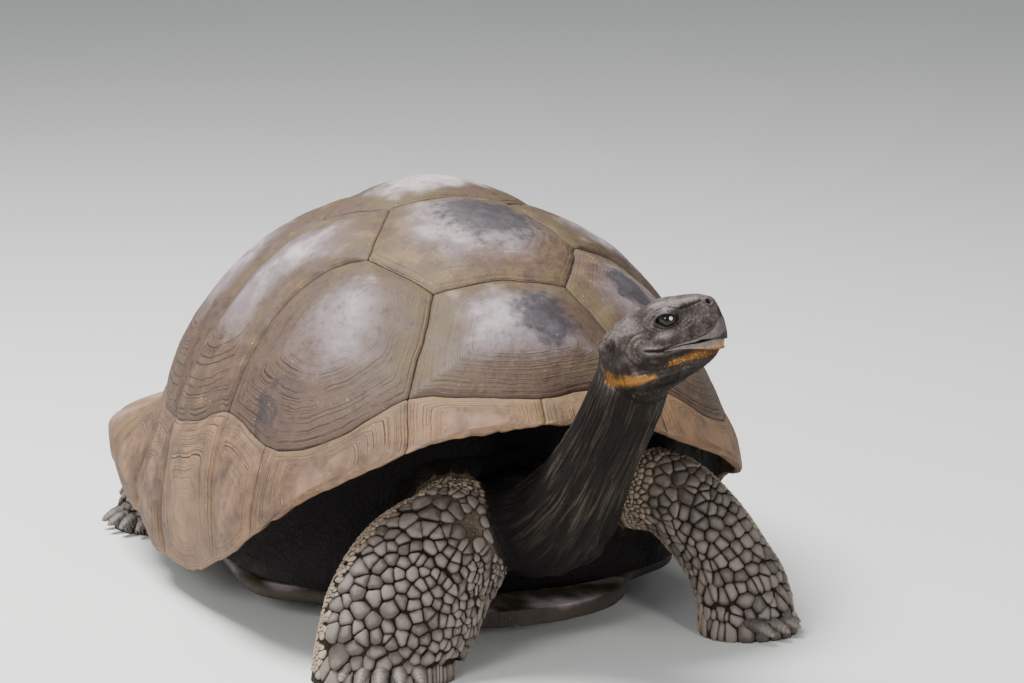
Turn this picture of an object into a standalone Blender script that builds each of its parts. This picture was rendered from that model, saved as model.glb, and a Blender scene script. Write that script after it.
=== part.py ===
"""Giant tortoise, adult male, standing low on its four feet with the head raised and turned.

Metres, +Z up. While it is shaped, the animal faces +X with the heart of its shell on the Z axis and
the floor at z = 0; the last step slides it so that its bounding box is centred on the origin.
"""
import math

import bmesh
import bpy
import numpy as np

# Shell: a dome around a heart point on the Z axis
HEART_HEIGHT = 0.177
DOME_FRONT = 0.645
DOME_REAR = 0.555
DOME_HALF_WIDTH = 0.436
DOME_RISE = 0.442
DOME_DROP = 0.59
PLAN_POWER = 2.11
RISE_POWER = 1.83
SCUTE_THICK = 0.012
MARGINAL_THICK = 0.014
VERTEBRAL_SWELL = 0.013
COSTAL_SWELL = 0.012
MARGINAL_SWELL = 0.003
MARGINAL_AREOLA = 0.3  # how far up its own height a marginal's areola sits
JOIN_INSET = 0.0005  # each scute stops this short of the seam
GAP = 0.0005  # clearance of a small socket
LIMB_GAP = 0.0015  # clearance where a limb enters the body

# By azimuth from the nose, in degrees: rim and band edges as angles above the heart, and the flare
RIM_LIFT = (66, 24, 10)  # azimuth, half-width and degrees by which the rim is higher on the left
RIM = [(0, 19), (14, 18), (22, 14.8), (35, 9), (47, 0.5), (62, -8.5), (76, -14.2), (90, -14.5), (106, -9.5),
       (121, -3.5), (136, -1), (152, -1), (166, -3), (180, -6)]
BAND = [(0, 23), (20.5, 23.5), (33, 17), (45.5, 15), (62, 20), (76, 16), (90, 14), (106, 13.5),
        (121, 15), (136, 12), (152, 13.5), (168, 13), (180, 13.5)]
FLARE = [(0, 0), (20, 0.01), (45, 0.025), (70, -0.012), (94, 0.04), (108, 0.08), (121, 0.16), (136, 0.24),
         (152, 0.20), (180, 0.09)]
FLARE_REACH = [(0, 21), (90, 21), (121, 15), (136, 8), (152, 8), (180, 12)]
MARGINAL_SEAMS = [0, 20.5, 47, 62, 90, 106, 121, 136, 152, 168]
FRONT_SCALLOP = 0.6
REAR_SCALLOP = 2.2

# Corners where three scutes meet, left side: azimuth and angle above the heart
CORNERS = {
    "neck": (20.5, None), "v1_v2": (16.5, 44), "v2_side": (39, 55.5), "v2_v3": (55, 75), "v3_side": (103, 66),
    "v3_v4": (149, 68), "v4_side": (148, 50), "v4_v5": (166, 39), "c1_c2": (62, None), "c2_c3": (90, None),
    "c3_c4": (121, None), "tail": (152, None),
}
# Points that a seam bends through on its way between two corners
BENDS = {
    ("v2_side", "c1_c2"): [(52, 52.5), (60.5, 45), (62.5, 31)],
    ("v3_side", "c2_c3"): [(97, 48), (92, 30)],
    ("v4_side", "c3_c4"): [(134, 39), (124, 27)],
    ("neck", "v1_v2"): [(18.5, 34)],
    ("v1_v2", "right_v1_v2"): [(0, 46.5)],
    ("v2_v3", "right_v2_v3"): [(0, 82)],
    ("v3_v4", "right_v3_v4"): [(180, 70)],
    ("v4_v5", "right_v4_v5"): [(180, 40)],
}
VERTEBRALS = [
    (["neck", "v1_v2"], (0, 36)),
    (["v1_v2", "v2_side", "v2_v3"], (0, 65)),
    (["v2_v3", "v3_side", "v3_v4"], (180, 84)),
    (["v3_v4", "v4_side", "v4_v5"], (180, 56)),
    (["v4_v5", "tail"], (180, 27)),
]
COSTALS = [
    (["neck", "c1_c2", "v2_side", "v1_v2"], (36, 41)),
    (["c1_c2", "c2_c3", "v3_side", "v2_v3", "v2_side"], (80, 50)),
    (["c2_c3", "c3_c4", "v4_side", "v3_v4", "v3_side"], (113, 46)),
    (["c3_c4", "tail", "v4_v5", "v4_side"], (143, 32)),
]

# Body inside the shell
TRUNK_FRONT = 0.385
TRUNK_REAR = 0.43
TRUNK_HALF_WIDTH = 0.372
RECESS_TOP = 15.0  # degrees above the rim where the body starts to draw in under the shell
RECESS_BOTTOM = -3.0
TRUNK_CLEARANCE = 0.010
TRUNK_POWER = 2.6
BELLY_POWER = 14  # how sharply the flat belly turns into the flanks
FAR = 9.0
TRUNK_FLOOR = 0.062
PLASTRON_BOTTOM = 0.036
PLASTRON_THICK = 0.024
PLASTRON_FRONT = 0.43
PLASTRON_REAR = 0.42
PLASTRON_LOBE = 0.235
PLASTRON_BRIDGE = 0.345

# Tubes of flesh: x, y, z, half-width, half-depth
NECK = [(0.34, 0.00, 0.185, 0.088, 0.078), (0.44, 0.015, 0.195, 0.092, 0.080), (0.520, 0.033, 0.222, 0.086, 0.074),
        (0.575, 0.049, 0.275, 0.068, 0.064), (0.612, 0.063, 0.335, 0.057, 0.057), (0.642, 0.079, 0.392, 0.055, 0.053),
        (0.662, 0.094, 0.450, 0.055, 0.050), (0.674, 0.100, 0.500, 0.050, 0.042)]
FORE_RIGHT = [(0.30, -0.090, 0.198, 0.062, 0.054), (0.388, -0.081, 0.201, 0.071, 0.061),
              (0.448, -0.098, 0.186, 0.088, 0.073), (0.474, -0.156, 0.138, 0.107, 0.072),
              (0.490, -0.193, 0.087, 0.111, 0.066), (0.502, -0.218, 0.040, 0.106, 0.064),
              (0.507, -0.230, -0.030, 0.102, 0.064)]
FORE_LEFT = [(0.28, 0.150, 0.200, 0.065, 0.056), (0.345, 0.195, 0.214, 0.065, 0.057),
             (0.395, 0.248, 0.210, 0.063, 0.055), (0.419, 0.295, 0.163, 0.064, 0.051),
             (0.430, 0.330, 0.108, 0.066, 0.050), (0.437, 0.354, 0.050, 0.074, 0.055),
             (0.439, 0.362, -0.030, 0.076, 0.057)]
HIND_RIGHT = [(-0.23, -0.205, 0.165, 0.080, 0.072), (-0.305, -0.275, 0.145, 0.085, 0.074),
              (-0.362, -0.328, 0.104, 0.074, 0.062), (-0.392, -0.358, 0.062, 0.066, 0.060),
              (-0.402, -0.370, 0.030, 0.067, 0.064), (-0.405, -0.373, -0.030, 0.067, 0.064)]
HIND_LEFT = [(-0.23, 0.200, 0.165, 0.080, 0.072), (-0.295, 0.262, 0.145, 0.085, 0.074),
             (-0.342, 0.303, 0.104, 0.074, 0.062), (-0.364, 0.324, 0.062, 0.066, 0.060),
             (-0.370, 0.330, 0.030, 0.067, 0.064), (-0.372, 0.332, -0.030, 0.067, 0.064)]
TAIL = [(-0.40, 0.0, 0.150, 0.050, 0.048), (-0.455, 0.004, 0.135, 0.042, 0.040), (-0.500, 0.016, 0.105, 0.030, 0.028),
        (-0.525, 0.032, 0.070, 0.017, 0.017), (-0.535, 0.046, 0.045, 0.008, 0.008)]
CAP_ANGLE = math.radians(55)  # how far round the domed end of a limb its last ring sits
CAP_REACH = 0.55
FRONT_CLAWS = 5
HIND_CLAWS = 4
CLAW_LENGTH = 0.046
CLAW_RADIUS = 0.0150
CLAW_SPACING = 0.0225

# Head, in its own frame: u forward, v left, w up
HEAD_AT = (0.672, 0.078, 0.504)
HEAD_YAW = 62.0
HEAD_PITCH = 14.5
# u, half-width, top, bottom
HEAD = [(-0.049, 0.020, 0.004, -0.029), (-0.041, 0.032, 0.016, -0.044), (-0.021, 0.043, 0.026, -0.064),
        (0.000, 0.049, 0.035, -0.078), (0.027, 0.052, 0.045, -0.083), (0.055, 0.049, 0.0522, -0.073),
        (0.079, 0.043, 0.0532, -0.061), (0.103, 0.035, 0.0517, -0.052), (0.125, 0.027, 0.046, -0.042),
        (0.137, 0.019, 0.036, -0.030), (0.142, 0.009, 0.018, -0.013)]
MOUTH_W = -0.009
BEAK_U = 0.090
EYE = (0.068, 0.0335, 0.0285)
EYE_RADIUS = 0.0142

MATERIALS = {
    "shell": ((0.19, 0.145, 0.115), 0.55), "plastron": ((0.30, 0.24, 0.17), 0.6), "skin": ((0.085, 0.072, 0.062), 0.8),
    "beak": ((0.11, 0.09, 0.07), 0.5), "eye": ((0.012, 0.009, 0.007), 0.08), "claw": ((0.09, 0.075, 0.06), 0.5),
}


def spline(knots, at):
    """A smooth curve through the knots (first column is the position), flat at both ends."""
    table = np.array(knots, float)
    t, values = table[:, 0], table[:, 1:]
    slopes = np.zeros_like(values)
    slopes[1:-1] = (values[2:] - values[:-2]) / (t[2:] - t[:-2])[:, None]
    at = np.clip(np.asarray(at, float), t[0], t[-1])
    i = np.clip(np.searchsorted(t, at, side="right") - 1, 0, len(t) - 2)
    span = t[i + 1] - t[i]
    f = ((at - t[i]) / span)[..., None]
    a, b, c, d = values[i], values[i + 1], slopes[i] * span[..., None], slopes[i + 1] * span[..., None]
    return a + c * f + (3 * (b - a) - 2 * c - d) * f**2 + (2 * (a - b) + c + d) * f**3


def around(knots, azimuth):
    """A knot curve read at an azimuth of either side, in degrees."""
    return spline(knots, np.abs((np.asarray(azimuth, float) + 180) % 360 - 180))[..., 0]


def rim_at(azimuth):
    """The rise of the rim, a little higher above the left foreleg."""
    middle, half, lift = RIM_LIFT
    return around(RIM, azimuth) + lift * np.exp(-(((np.asarray(azimuth, float) - middle) / half) ** 2))


def direction(azimuth, rise):
    a, e = np.radians(azimuth), np.radians(rise)
    return np.stack([np.cos(e) * np.cos(a), np.cos(e) * np.sin(a), np.sin(e) + 0 * a], axis=-1)


def unit(vectors):
    return vectors / np.linalg.norm(vectors, axis=-1, keepdims=True)


def dome_radius(d):
    """Distance from the heart to the smooth dome along unit directions."""
    length = np.where(d[..., 0] > 0, DOME_FRONT, DOME_REAR)
    rise = np.where(d[..., 2] > 0, DOME_RISE, DOME_DROP)
    plan = np.abs(d[..., 0] / length) ** PLAN_POWER + np.abs(d[..., 1] / DOME_HALF_WIDTH) ** PLAN_POWER
    return (plan ** (RISE_POWER / PLAN_POWER) + np.abs(d[..., 2] / rise) ** RISE_POWER) ** (-1 / RISE_POWER)


def shell_radius(d):
    """The dome with its rim flared outwards."""
    azimuth = np.degrees(np.arctan2(d[..., 1], d[..., 0]))
    rise = np.degrees(np.arcsin(np.clip(d[..., 2], -1, 1)))
    reach = around(FLARE_REACH, azimuth)
    depth = np.clip((rim_at(azimuth) + reach - rise) * 1.25 / reach, 0, 1)
    return dome_radius(d) * (1 + around(FLARE, azimuth) * depth**2 * (3 - 2 * depth))


def rim_rise(azimuth):
    """The rim, bulging down between the seams of the marginals."""
    seams = MARGINAL_SEAMS + [192]
    side = abs((azimuth + 180) % 360 - 180)
    k = max(i for i in range(len(seams) - 1) if seams[i] <= side + 1e-9)
    bulge = math.sin(math.pi * (side - seams[k]) / (seams[k + 1] - seams[k]))
    deep = FRONT_SCALLOP if side < 90 else REAR_SCALLOP
    return float(rim_at(azimuth)) - deep * bulge


def band_points(start, end, rise):
    """Directions along the band edge or the rim between two azimuths: every seam and two points between."""
    seams = sorted({s * side for s in MARGINAL_SEAMS + [192, 208] for side in (1, -1)} | {360 - 168, 360 - 152})
    stops = [start] + [s for s in seams if start + 1e-6 < s < end - 1e-6] + [end]
    angles = [a + (b - a) * k / 3 for a, b in zip(stops, stops[1:]) for k in range(3)] + [end]
    return [direction(a, rise(a)) for a in angles]


def band_rise(azimuth):
    return float(around(BAND, azimuth))


def corner(name):
    side = -1 if name.startswith("right_") else 1
    azimuth, rise = CORNERS[name.removeprefix("right_")]
    return direction(side * azimuth, band_rise(azimuth) if rise is None else rise)


def seam(a, b):
    """Directions along the seam from corner a to corner b, without b."""
    bare = tuple(n.removeprefix("right_") for n in (a, b))
    left = [CORNERS[n][1] is None for n in bare]
    if all(left):
        angles = [(-1 if n.startswith("right_") else 1) * CORNERS[n.removeprefix("right_")][0] for n in (a, b)]
        if angles[0] > 0 > angles[1]:
            angles[1] += 360
        if angles[0] < angles[1]:
            return band_points(*angles, band_rise)[:-1]
        return band_points(angles[1], angles[0], band_rise)[:0:-1]
    for key, flip in (((a, b), 1), ((b, a), -1)):
        if key in BENDS:
            return [corner(a)] + [direction(*p) for p in BENDS[key]][::flip]
    for key, flip in ((bare, 1), (bare[::-1], -1)):
        if key in BENDS and a.startswith("right_") and b.startswith("right_"):
            return [corner(a)] + [direction(-p[0], p[1]) for p in BENDS[key]][::flip]
    return [corner(a), unit(corner(a) + corner(b))]


def refined(loop, longest=0.21):
    """Splits the long sides of a loop of directions, evenly from both ends, so that neighbours agree."""
    out = []
    for a, b in zip(loop, loop[1:] + loop[:1]):
        n = max(1, math.ceil(float(np.linalg.norm(a - b)) / longest))
        out += [unit(a + (b - a) * k / n) for k in range(n)]
    return np.array(out)


def mesh_node(name, points, faces, material, collection):
    mesh = bpy.data.meshes.new(name)
    mesh.from_pydata([tuple(map(float, p)) for p in points], [], [tuple(map(int, f)) for f in faces])
    mesh.update()
    node = bpy.data.objects.new(name, mesh)
    collection.objects.link(node)
    if material:
        mesh.materials.append(material)
    return node


def scute(name, loop, middle, thick, swell, material, collection, rings=3):
    """A curved plate around its areola: outer face swollen in the middle, walls that point at the heart."""
    loop = refined(loop)
    middle = direction(*middle)
    short = 1 - JOIN_INSET / (shell_radius(loop) * np.linalg.norm(loop - middle, axis=1))
    outer, inner = [], []
    for k in range(1, rings + 1):
        s = k / rings
        d = unit(middle + (loop - middle) * (s * short)[:, None])
        reach = shell_radius(d)
        outer.append(d * (reach + swell * (1 - s * s))[:, None])
        inner.append(d * (reach - thick)[:, None])
    top = shell_radius(middle)
    points = [middle * (top + swell)] + [p for ring in outer for p in ring]
    under = len(points)
    points += [middle * (top - thick)] + [p for ring in inner for p in ring]
    n = len(loop)
    faces = []
    for j in range(n):
        k = (j + 1) % n
        faces += [(0, 1 + j, 1 + k), (under, under + 1 + k, under + 1 + j)]
        for r in range(rings - 1):
            a, b = 1 + r * n, 1 + (r + 1) * n
            faces += [(a + j, b + j, b + k, a + k), (under + a + k, under + b + k, under + b + j, under + a + j)]
        last = 1 + (rings - 1) * n
        faces.append((last + j, under + last + j, under + last + k, last + k))
    points = np.array(points) + [0, 0, HEART_HEIGHT]
    return mesh_node(name, points, faces, material, collection)


def build_shell(materials, collection):
    shell = materials["shell"]
    for k, (side, middle) in enumerate(VERTEBRALS):
        path = side + ["right_" + n for n in reversed(side)]
        loop = [p for a, b in zip(path, path[1:] + path[:1]) for p in seam(a, b)]
        scute(f"vertebral_{k + 1}", loop, middle, SCUTE_THICK, VERTEBRAL_SWELL, shell, collection)
    for k, (path, middle) in enumerate(COSTALS):
        loop = [p for a, b in zip(path, path[1:] + path[:1]) for p in seam(a, b)]
        scute(f"costal_left_{k + 1}", loop, middle, SCUTE_THICK, COSTAL_SWELL, shell, collection)
        mirrored = [p * [1, -1, 1] for p in reversed(loop)]
        scute(f"costal_right_{k + 1}", mirrored, (-middle[0], middle[1]), SCUTE_THICK, COSTAL_SWELL, shell, collection)
    for k, (a, b) in enumerate(zip(MARGINAL_SEAMS, MARGINAL_SEAMS[1:] + [192])):
        rings = 2 if b <= 90 else 3
        for side, sign in (("left", 1), ("right", -1)):
            if a == 168 and sign < 0:
                continue
            loop = band_points(a, b, lambda angle: rim_rise(sign * angle)) + band_points(a, b, band_rise)[::-1]
            if sign < 0:
                loop = [p * [1, -1, 1] for p in reversed(loop)]
            low, high = rim_rise(sign * (a + b) / 2), band_rise((a + b) / 2)
            middle = (sign * (a + b) / 2, low + MARGINAL_AREOLA * (high - low))
            name = "supracaudal" if a == 168 else f"marginal_{side}_{k + 1}"
            scute(name, loop, middle, MARGINAL_THICK, MARGINAL_SWELL, shell, collection, rings)


def trunk_radius(d):
    """The body: close under the shell, drawn in below the rim, flat underneath."""
    azimuth = np.degrees(np.arctan2(d[..., 1], d[..., 0]))
    rise = np.degrees(np.arcsin(np.clip(d[..., 2], -1, 1)))
    lining = dome_radius(d) - SCUTE_THICK - TRUNK_CLEARANCE
    length = np.where(d[..., 0] > 0, TRUNK_FRONT, TRUNK_REAR)
    plan = np.abs(d[..., 0] / length) ** TRUNK_POWER + np.abs(d[..., 1] / TRUNK_HALF_WIDTH) ** TRUNK_POWER
    body = (plan ** (1 / TRUNK_POWER) + 1e-9) ** -1
    above = np.clip((rise - rim_at(azimuth) - RECESS_BOTTOM) / (RECESS_TOP - RECESS_BOTTOM), 0, 1)
    drawn = np.minimum(body, lining)
    upper = drawn + (lining - drawn) * above**2 * (3 - 2 * above)
    belly = np.minimum((HEART_HEIGHT - TRUNK_FLOOR) / np.maximum(-d[..., 2], 1e-6), FAR)
    return (upper**-BELLY_POWER + belly**-BELLY_POWER) ** (-1 / BELLY_POWER)


def build_trunk(material, collection, around_count=28, rise_count=15):
    rises = np.linspace(-90, 90, rise_count + 1)[1:-1]
    points = [direction(0, -90) * trunk_radius(direction(0, -90))]
    for rise in rises:
        d = direction(np.arange(around_count) * 360 / around_count, rise)
        points += list(d * trunk_radius(d)[:, None])
    points.append(direction(0, 90) * trunk_radius(direction(0, 90)))
    n, top, faces = around_count, len(points) - 1, []
    for j in range(n):
        k = (j + 1) % n
        faces += [(0, 1 + k, 1 + j), (top, top - n + j, top - n + k)]
        for r in range(len(rises) - 1):
            a = 1 + r * n
            faces.append((a + j, a + k, a + n + k, a + n + j))
    return mesh_node("trunk", np.array(points) + [0, 0, HEART_HEIGHT], faces, material, collection)


def plastron_half_width(x):
    """Two rounded lobes with the wide bridge between them."""
    bridge = PLASTRON_BRIDGE - PLASTRON_LOBE
    lobe = PLASTRON_LOBE + bridge / (1 + np.exp((np.abs(x + 0.01) - 0.23) / 0.02))
    end = np.where(x > 0, PLASTRON_FRONT, PLASTRON_REAR)
    return lobe * np.maximum(1 - np.abs(x / end) ** 5, 0) ** 0.45


def build_plastron(material, collection, count=15):
    angles = np.linspace(0, math.pi, count + 2)[1:-1]
    middle, half = (PLASTRON_FRONT - PLASTRON_REAR) / 2, (PLASTRON_FRONT + PLASTRON_REAR) / 2
    xs = middle + half * np.cos(angles)
    ys = plastron_half_width(xs)
    outline = [(middle + half, 0)] + list(zip(xs, ys)) + [(middle - half, 0)] + list(zip(xs[::-1], -ys[::-1]))
    top = PLASTRON_BOTTOM + PLASTRON_THICK
    points = [(x, y, PLASTRON_BOTTOM) for x, y in outline] + [(x, y, top) for x, y in outline]
    n = len(outline)
    faces = [tuple(range(n))[::-1], tuple(range(n, 2 * n))]
    faces += [(j, (j + 1) % n, n + (j + 1) % n, n + j) for j in range(n)]
    node = mesh_node("plastron", points, faces, material, collection)
    bevel = node.modifiers.new("rounded_edge", "BEVEL")
    bevel.width, bevel.segments = 0.006, 1
    bevel.angle_limit = math.radians(60)
    bevel.limit_method = "ANGLE"
    return node


def tube(name, stations, facing, material, collection, grow=0.0, rings_each=1, sides=12):
    """A limb lofted through its stations, with its broad side turned to `facing` and domed ends."""
    table = np.array(stations, float)
    step = np.arange(len(table))
    at = np.linspace(0, len(table) - 1, (len(table) - 1) * rings_each + 1)
    body = spline(np.column_stack([step, table]), at)
    centres, widths, depths = body[:, :3], body[:, 3] + grow, body[:, 4] + grow
    tangents = unit(np.gradient(centres, axis=0))
    tangents[0], tangents[-1] = unit(table[1, :3] - table[0, :3]), unit(table[-1, :3] - table[-2, :3])
    rows = [(c, t, w, h) for c, t, w, h in zip(centres, tangents, widths, depths)]
    for last, sign in ((0, -1), (-1, 1)):
        c, t, w, h = rows[last]
        narrow = math.cos(CAP_ANGLE)
        cap = [(c + t * sign * CAP_REACH * min(w, h) * math.sin(CAP_ANGLE), t, w * narrow, h * narrow)]
        rows = cap + rows if last == 0 else rows + cap
    points = []
    side = np.cross(rows[-1][1], facing)
    frames = []
    for c, t, w, h in reversed(rows):
        side = unit(side - t * (side @ t))
        frames.append(side)
    for (c, t, w, h), side in zip(rows, reversed(frames)):
        front = np.cross(side, t)
        for k in range(sides):
            a = 2 * math.pi * k / sides
            points.append(c + side * w * math.cos(a) + front * h * math.sin(a))
    n, m = sides, len(rows)
    faces = [tuple(range(n))[::-1], tuple(range((m - 1) * n, m * n))]
    for r in range(m - 1):
        for j in range(n):
            k = (j + 1) % n
            faces.append((r * n + j, r * n + k, (r + 1) * n + k, (r + 1) * n + j))
    node = mesh_node(name, points, faces, material, collection)
    face_out(node)
    return node


def face_out(node):
    work = bmesh.new()
    work.from_mesh(node.data)
    bmesh.ops.triangulate(work, faces=[f for f in work.faces if len(f.verts) > 4])
    bmesh.ops.recalc_face_normals(work, faces=work.faces)
    work.to_mesh(node.data)
    work.free()


def keep_side(node, point, normal):
    """Cuts the node flat and keeps what lies behind the plane."""
    work = bmesh.new()
    work.from_mesh(node.data)
    geometry = work.verts[:] + work.edges[:] + work.faces[:]
    cut = bmesh.ops.bisect_plane(work, geom=geometry, plane_co=point, plane_no=normal, dist=1e-7, clear_outer=True)
    edges = [e for e in cut["geom_cut"] if isinstance(e, bmesh.types.BMEdge)]
    bmesh.ops.triangle_fill(work, edges=edges, use_beauty=True)
    bmesh.ops.recalc_face_normals(work, faces=work.faces)
    work.to_mesh(node.data)
    work.free()


def bite(node, cutter):
    """Takes the cutter's shape out of the node."""
    cut = node.modifiers.new("socket_" + cutter.name, "BOOLEAN")
    cut.operation, cut.solver, cut.object = "DIFFERENCE", "EXACT", cutter


def head_frame():
    yaw, pitch = math.radians(HEAD_YAW), math.radians(HEAD_PITCH)
    forward = np.array([math.cos(pitch) * math.cos(yaw), math.cos(pitch) * math.sin(yaw), math.sin(pitch)])
    left = np.array([-math.sin(yaw), math.cos(yaw), 0])
    return forward, left, np.cross(forward, left)


def head_point(u, v, w):
    forward, left, up = head_frame()
    return np.array(HEAD_AT) + forward * u + left * v + up * w


def head_form(name, material, collection, grow=0.0, sides=20, rings_each=1):
    """The whole head as one closed loft along its own axis."""
    table = np.array(HEAD, float)
    at = np.linspace(0, len(table) - 1, (len(table) - 1) * rings_each + 1)
    body = spline(np.column_stack([np.arange(len(table)), table]), at)
    points = []
    for u, half, top, bottom in body:
        middle, tall = (top + bottom) / 2, (top - bottom) / 2
        for k in range(sides):
            a = 2 * math.pi * k / sides
            c, s = math.cos(a), math.sin(a)
            v = (half + grow) * math.copysign(abs(c) ** 0.85, c)
            w = middle + (tall + grow) * math.copysign(abs(s) ** 0.85, s)
            points.append(head_point(u + grow * (1 if u > 0.13 else -1 if u < -0.04 else 0), v, w))
    n, m = sides, len(body)
    faces = [tuple(range(n)), tuple(range((m - 1) * n, m * n))]
    for r in range(m - 1):
        faces += [(r * n + j, r * n + (j + 1) % n, (r + 1) * n + (j + 1) % n, (r + 1) * n + j) for j in range(n)]
    node = mesh_node(name, points, faces, material, collection)
    face_out(node)
    return node


def build_head(materials, collection, cutters):
    forward, _, up = head_frame()
    for name, finish in (("head", "skin"), ("upper_beak", "beak"), ("lower_jaw", "skin"), ("lower_beak", "beak")):
        node = head_form(name, materials[finish], collection)
        above = name in ("head", "upper_beak")
        keep_side(node, head_point(0, 0, MOUTH_W + (GAP if above else -GAP)), -up if above else up)
        in_beak = name.endswith("beak")
        if name != "head":
            edge = BEAK_U + (GAP if in_beak else -GAP)
            keep_side(node, head_point(edge, 0, 0), -forward if in_beak else forward)
        else:
            keep_side(node, head_point(BEAK_U - GAP, 0, 0), forward)
        if name == "head":
            skull = node
    for name, side in (("left", 1), ("right", -1)):
        at = head_point(EYE[0], side * EYE[1], EYE[2])
        for label, grow, where, finish in (("eye_" + name, 0.0, collection, materials["eye"]),
                                           ("cut_eye_" + name, GAP, cutters, None)):
            bpy.ops.mesh.primitive_uv_sphere_add(segments=8, ring_count=6, radius=EYE_RADIUS + grow, location=at)
            ball = bpy.context.object
            ball.name = label
            for owner in list(ball.users_collection):
                owner.objects.unlink(ball)
            where.objects.link(ball)
            if finish:
                ball.data.materials.append(finish)
            else:
                bite(skull, ball)


def claw_row(name, toe, across, outward, count, grow, material, collection):
    """A row of blunt claws, grown together at the roots."""
    first = None
    for k in range(count):
        offset = k - (count - 1) / 2
        turn = outward + across * offset * 0.17
        root = toe + across * offset * CLAW_SPACING - outward * 0.006 * abs(offset) ** 1.4
        reach = CLAW_LENGTH * (1 - 0.06 * abs(offset))
        line = [(0.0, 1.0, 0.0), (0.55, 0.82, -0.003), (1.0, 0.34, -0.011)]
        rows = [tuple(root + unit(turn) * (t * reach) + np.array([0, 0, drop])) +
                (CLAW_RADIUS * wide, CLAW_RADIUS * wide * 0.92) for t, wide, drop in line]
        claw = tube(f"{name}_{k}" if k else name, rows, (0, 0, 1), material, collection, grow, rings_each=1, sides=6)
        if first is None:
            first = claw
        else:
            join = first.modifiers.new(f"claw_{k}", "BOOLEAN")
            join.operation, join.solver, join.object = "UNION", "EXACT", claw
            claw.hide_render = True
            claw.display_type = "WIRE"
    return first


def build_limbs(materials, collection, cutters, trunk, neck_socket):
    legs = {
        "foreleg_right": (FORE_RIGHT, (0.95, -0.15, 0.25), (0.93, -0.36), FRONT_CLAWS),
        "foreleg_left": (FORE_LEFT, (0.85, -0.05, 0.5), (0.62, 0.78), FRONT_CLAWS),
        "hindleg_right": (HIND_RIGHT, (0.5, -0.87, 0.1), (0.50, -0.87), HIND_CLAWS),
        "hindleg_left": (HIND_LEFT, (0.6, 0.8, 0.1), (0.60, 0.80), HIND_CLAWS),
    }
    for name, (stations, facing, toes, count) in legs.items():
        rings = 2 if name.startswith("fore") else 1
        leg = tube(name, stations, facing, materials["skin"], collection, 0.0, rings)
        keep_side(leg, (0, 0, 0), (0, 0, -1))
        socket = tube("cut_" + name, stations, facing, None, cutters, LIMB_GAP, rings)
        bite(trunk, socket)
        if name.startswith("fore"):
            bite(leg, neck_socket)
        outward = unit(np.array([*toes, 0.0]))
        across = np.array([-outward[1], outward[0], 0])
        foot = np.array(stations[-2][:3])
        toe = np.array([foot[0], foot[1], 0]) + outward * (stations[-2][4] - 0.012) + [0, 0, CLAW_RADIUS + 0.0125]
        claws = "claws_" + name.replace("leg", "")
        claw_row(claws, toe, across, outward, count, 0.0, materials["claw"], collection)
        cut = claw_row("cut_" + claws, toe, across, outward, count, GAP, None, cutters)
        bite(leg, cut)
    tail = tube("tail", TAIL, (0, 0, 1), materials["skin"], collection, sides=10)
    bite(trunk, tube("cut_tail", TAIL, (0, 0, 1), None, cutters, LIMB_GAP, sides=10))
    return tail


def build_neck(materials, collection, cutters, trunk):
    neck = tube("neck", NECK, (1, 0, 0.2), materials["skin"], collection)
    socket = tube("cut_neck", NECK, (1, 0, 0.2), None, cutters, LIMB_GAP)
    bite(trunk, socket)
    bite(neck, head_form("cut_head", None, cutters, grow=GAP))
    return socket


def settle(nodes):
    """Slides everything so that the bounding box is centred on the origin and stands on the floor."""
    bpy.context.view_layer.update()
    graph = bpy.context.evaluated_depsgraph_get()
    low, high = np.full(3, np.inf), np.full(3, -np.inf)
    for node in nodes:
        seen = node.evaluated_get(graph)
        mesh = seen.to_mesh()
        points = np.empty(len(mesh.vertices) * 3)
        mesh.vertices.foreach_get("co", points)
        points = points.reshape(-1, 3) + np.array(node.location)
        low, high = np.minimum(low, points.min(axis=0)), np.maximum(high, points.max(axis=0))
        seen.to_mesh_clear()
    shift = (-(low[0] + high[0]) / 2, -(low[1] + high[1]) / 2, -low[2])
    for node in bpy.data.objects:
        node.location = tuple(a + b for a, b in zip(node.location, shift))
    print("slid by", *(f"{s:.5f}" for s in shift))


def main():
    for stale in list(bpy.data.objects):
        bpy.data.objects.remove(stale)
    tortoise = bpy.data.collections.new("giant_tortoise")
    cutters = bpy.data.collections.new("cutters")
    bpy.context.scene.collection.children.link(tortoise)
    bpy.context.scene.collection.children.link(cutters)
    materials = {}
    for name, (colour, rough) in MATERIALS.items():
        material = bpy.data.materials.new(name)
        material.use_nodes = True
        socket = material.node_tree.nodes["Principled BSDF"].inputs
        socket["Base Color"].default_value = (*colour, 1)
        socket["Roughness"].default_value = rough
        materials[name] = material
    build_shell(materials, tortoise)
    trunk = build_trunk(materials["skin"], tortoise)
    build_plastron(materials["plastron"], tortoise)
    neck_socket = build_neck(materials, tortoise, cutters, trunk)
    build_limbs(materials, tortoise, cutters, trunk, neck_socket)
    build_head(materials, tortoise, cutters)
    for helper in cutters.objects:
        helper.hide_render = True
        helper.display_type = "WIRE"
    cutters.hide_render = True
    settle([n for n in tortoise.objects if not n.hide_render])


main()
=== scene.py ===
"""Looks of a life-size giant tortoise: horn plates, wrinkled hide, scaled legs, beak, eyes and claws.

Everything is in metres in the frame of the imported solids: +X ahead, +Y to the animal's left, +Z up.
"""

import itertools
import logging
import math
from dataclasses import dataclass, field
from enum import Enum
from typing import Any, Callable, Sequence

import bpy
import numpy as np
from mathutils import Matrix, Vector
from mathutils.kdtree import KDTree


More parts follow.
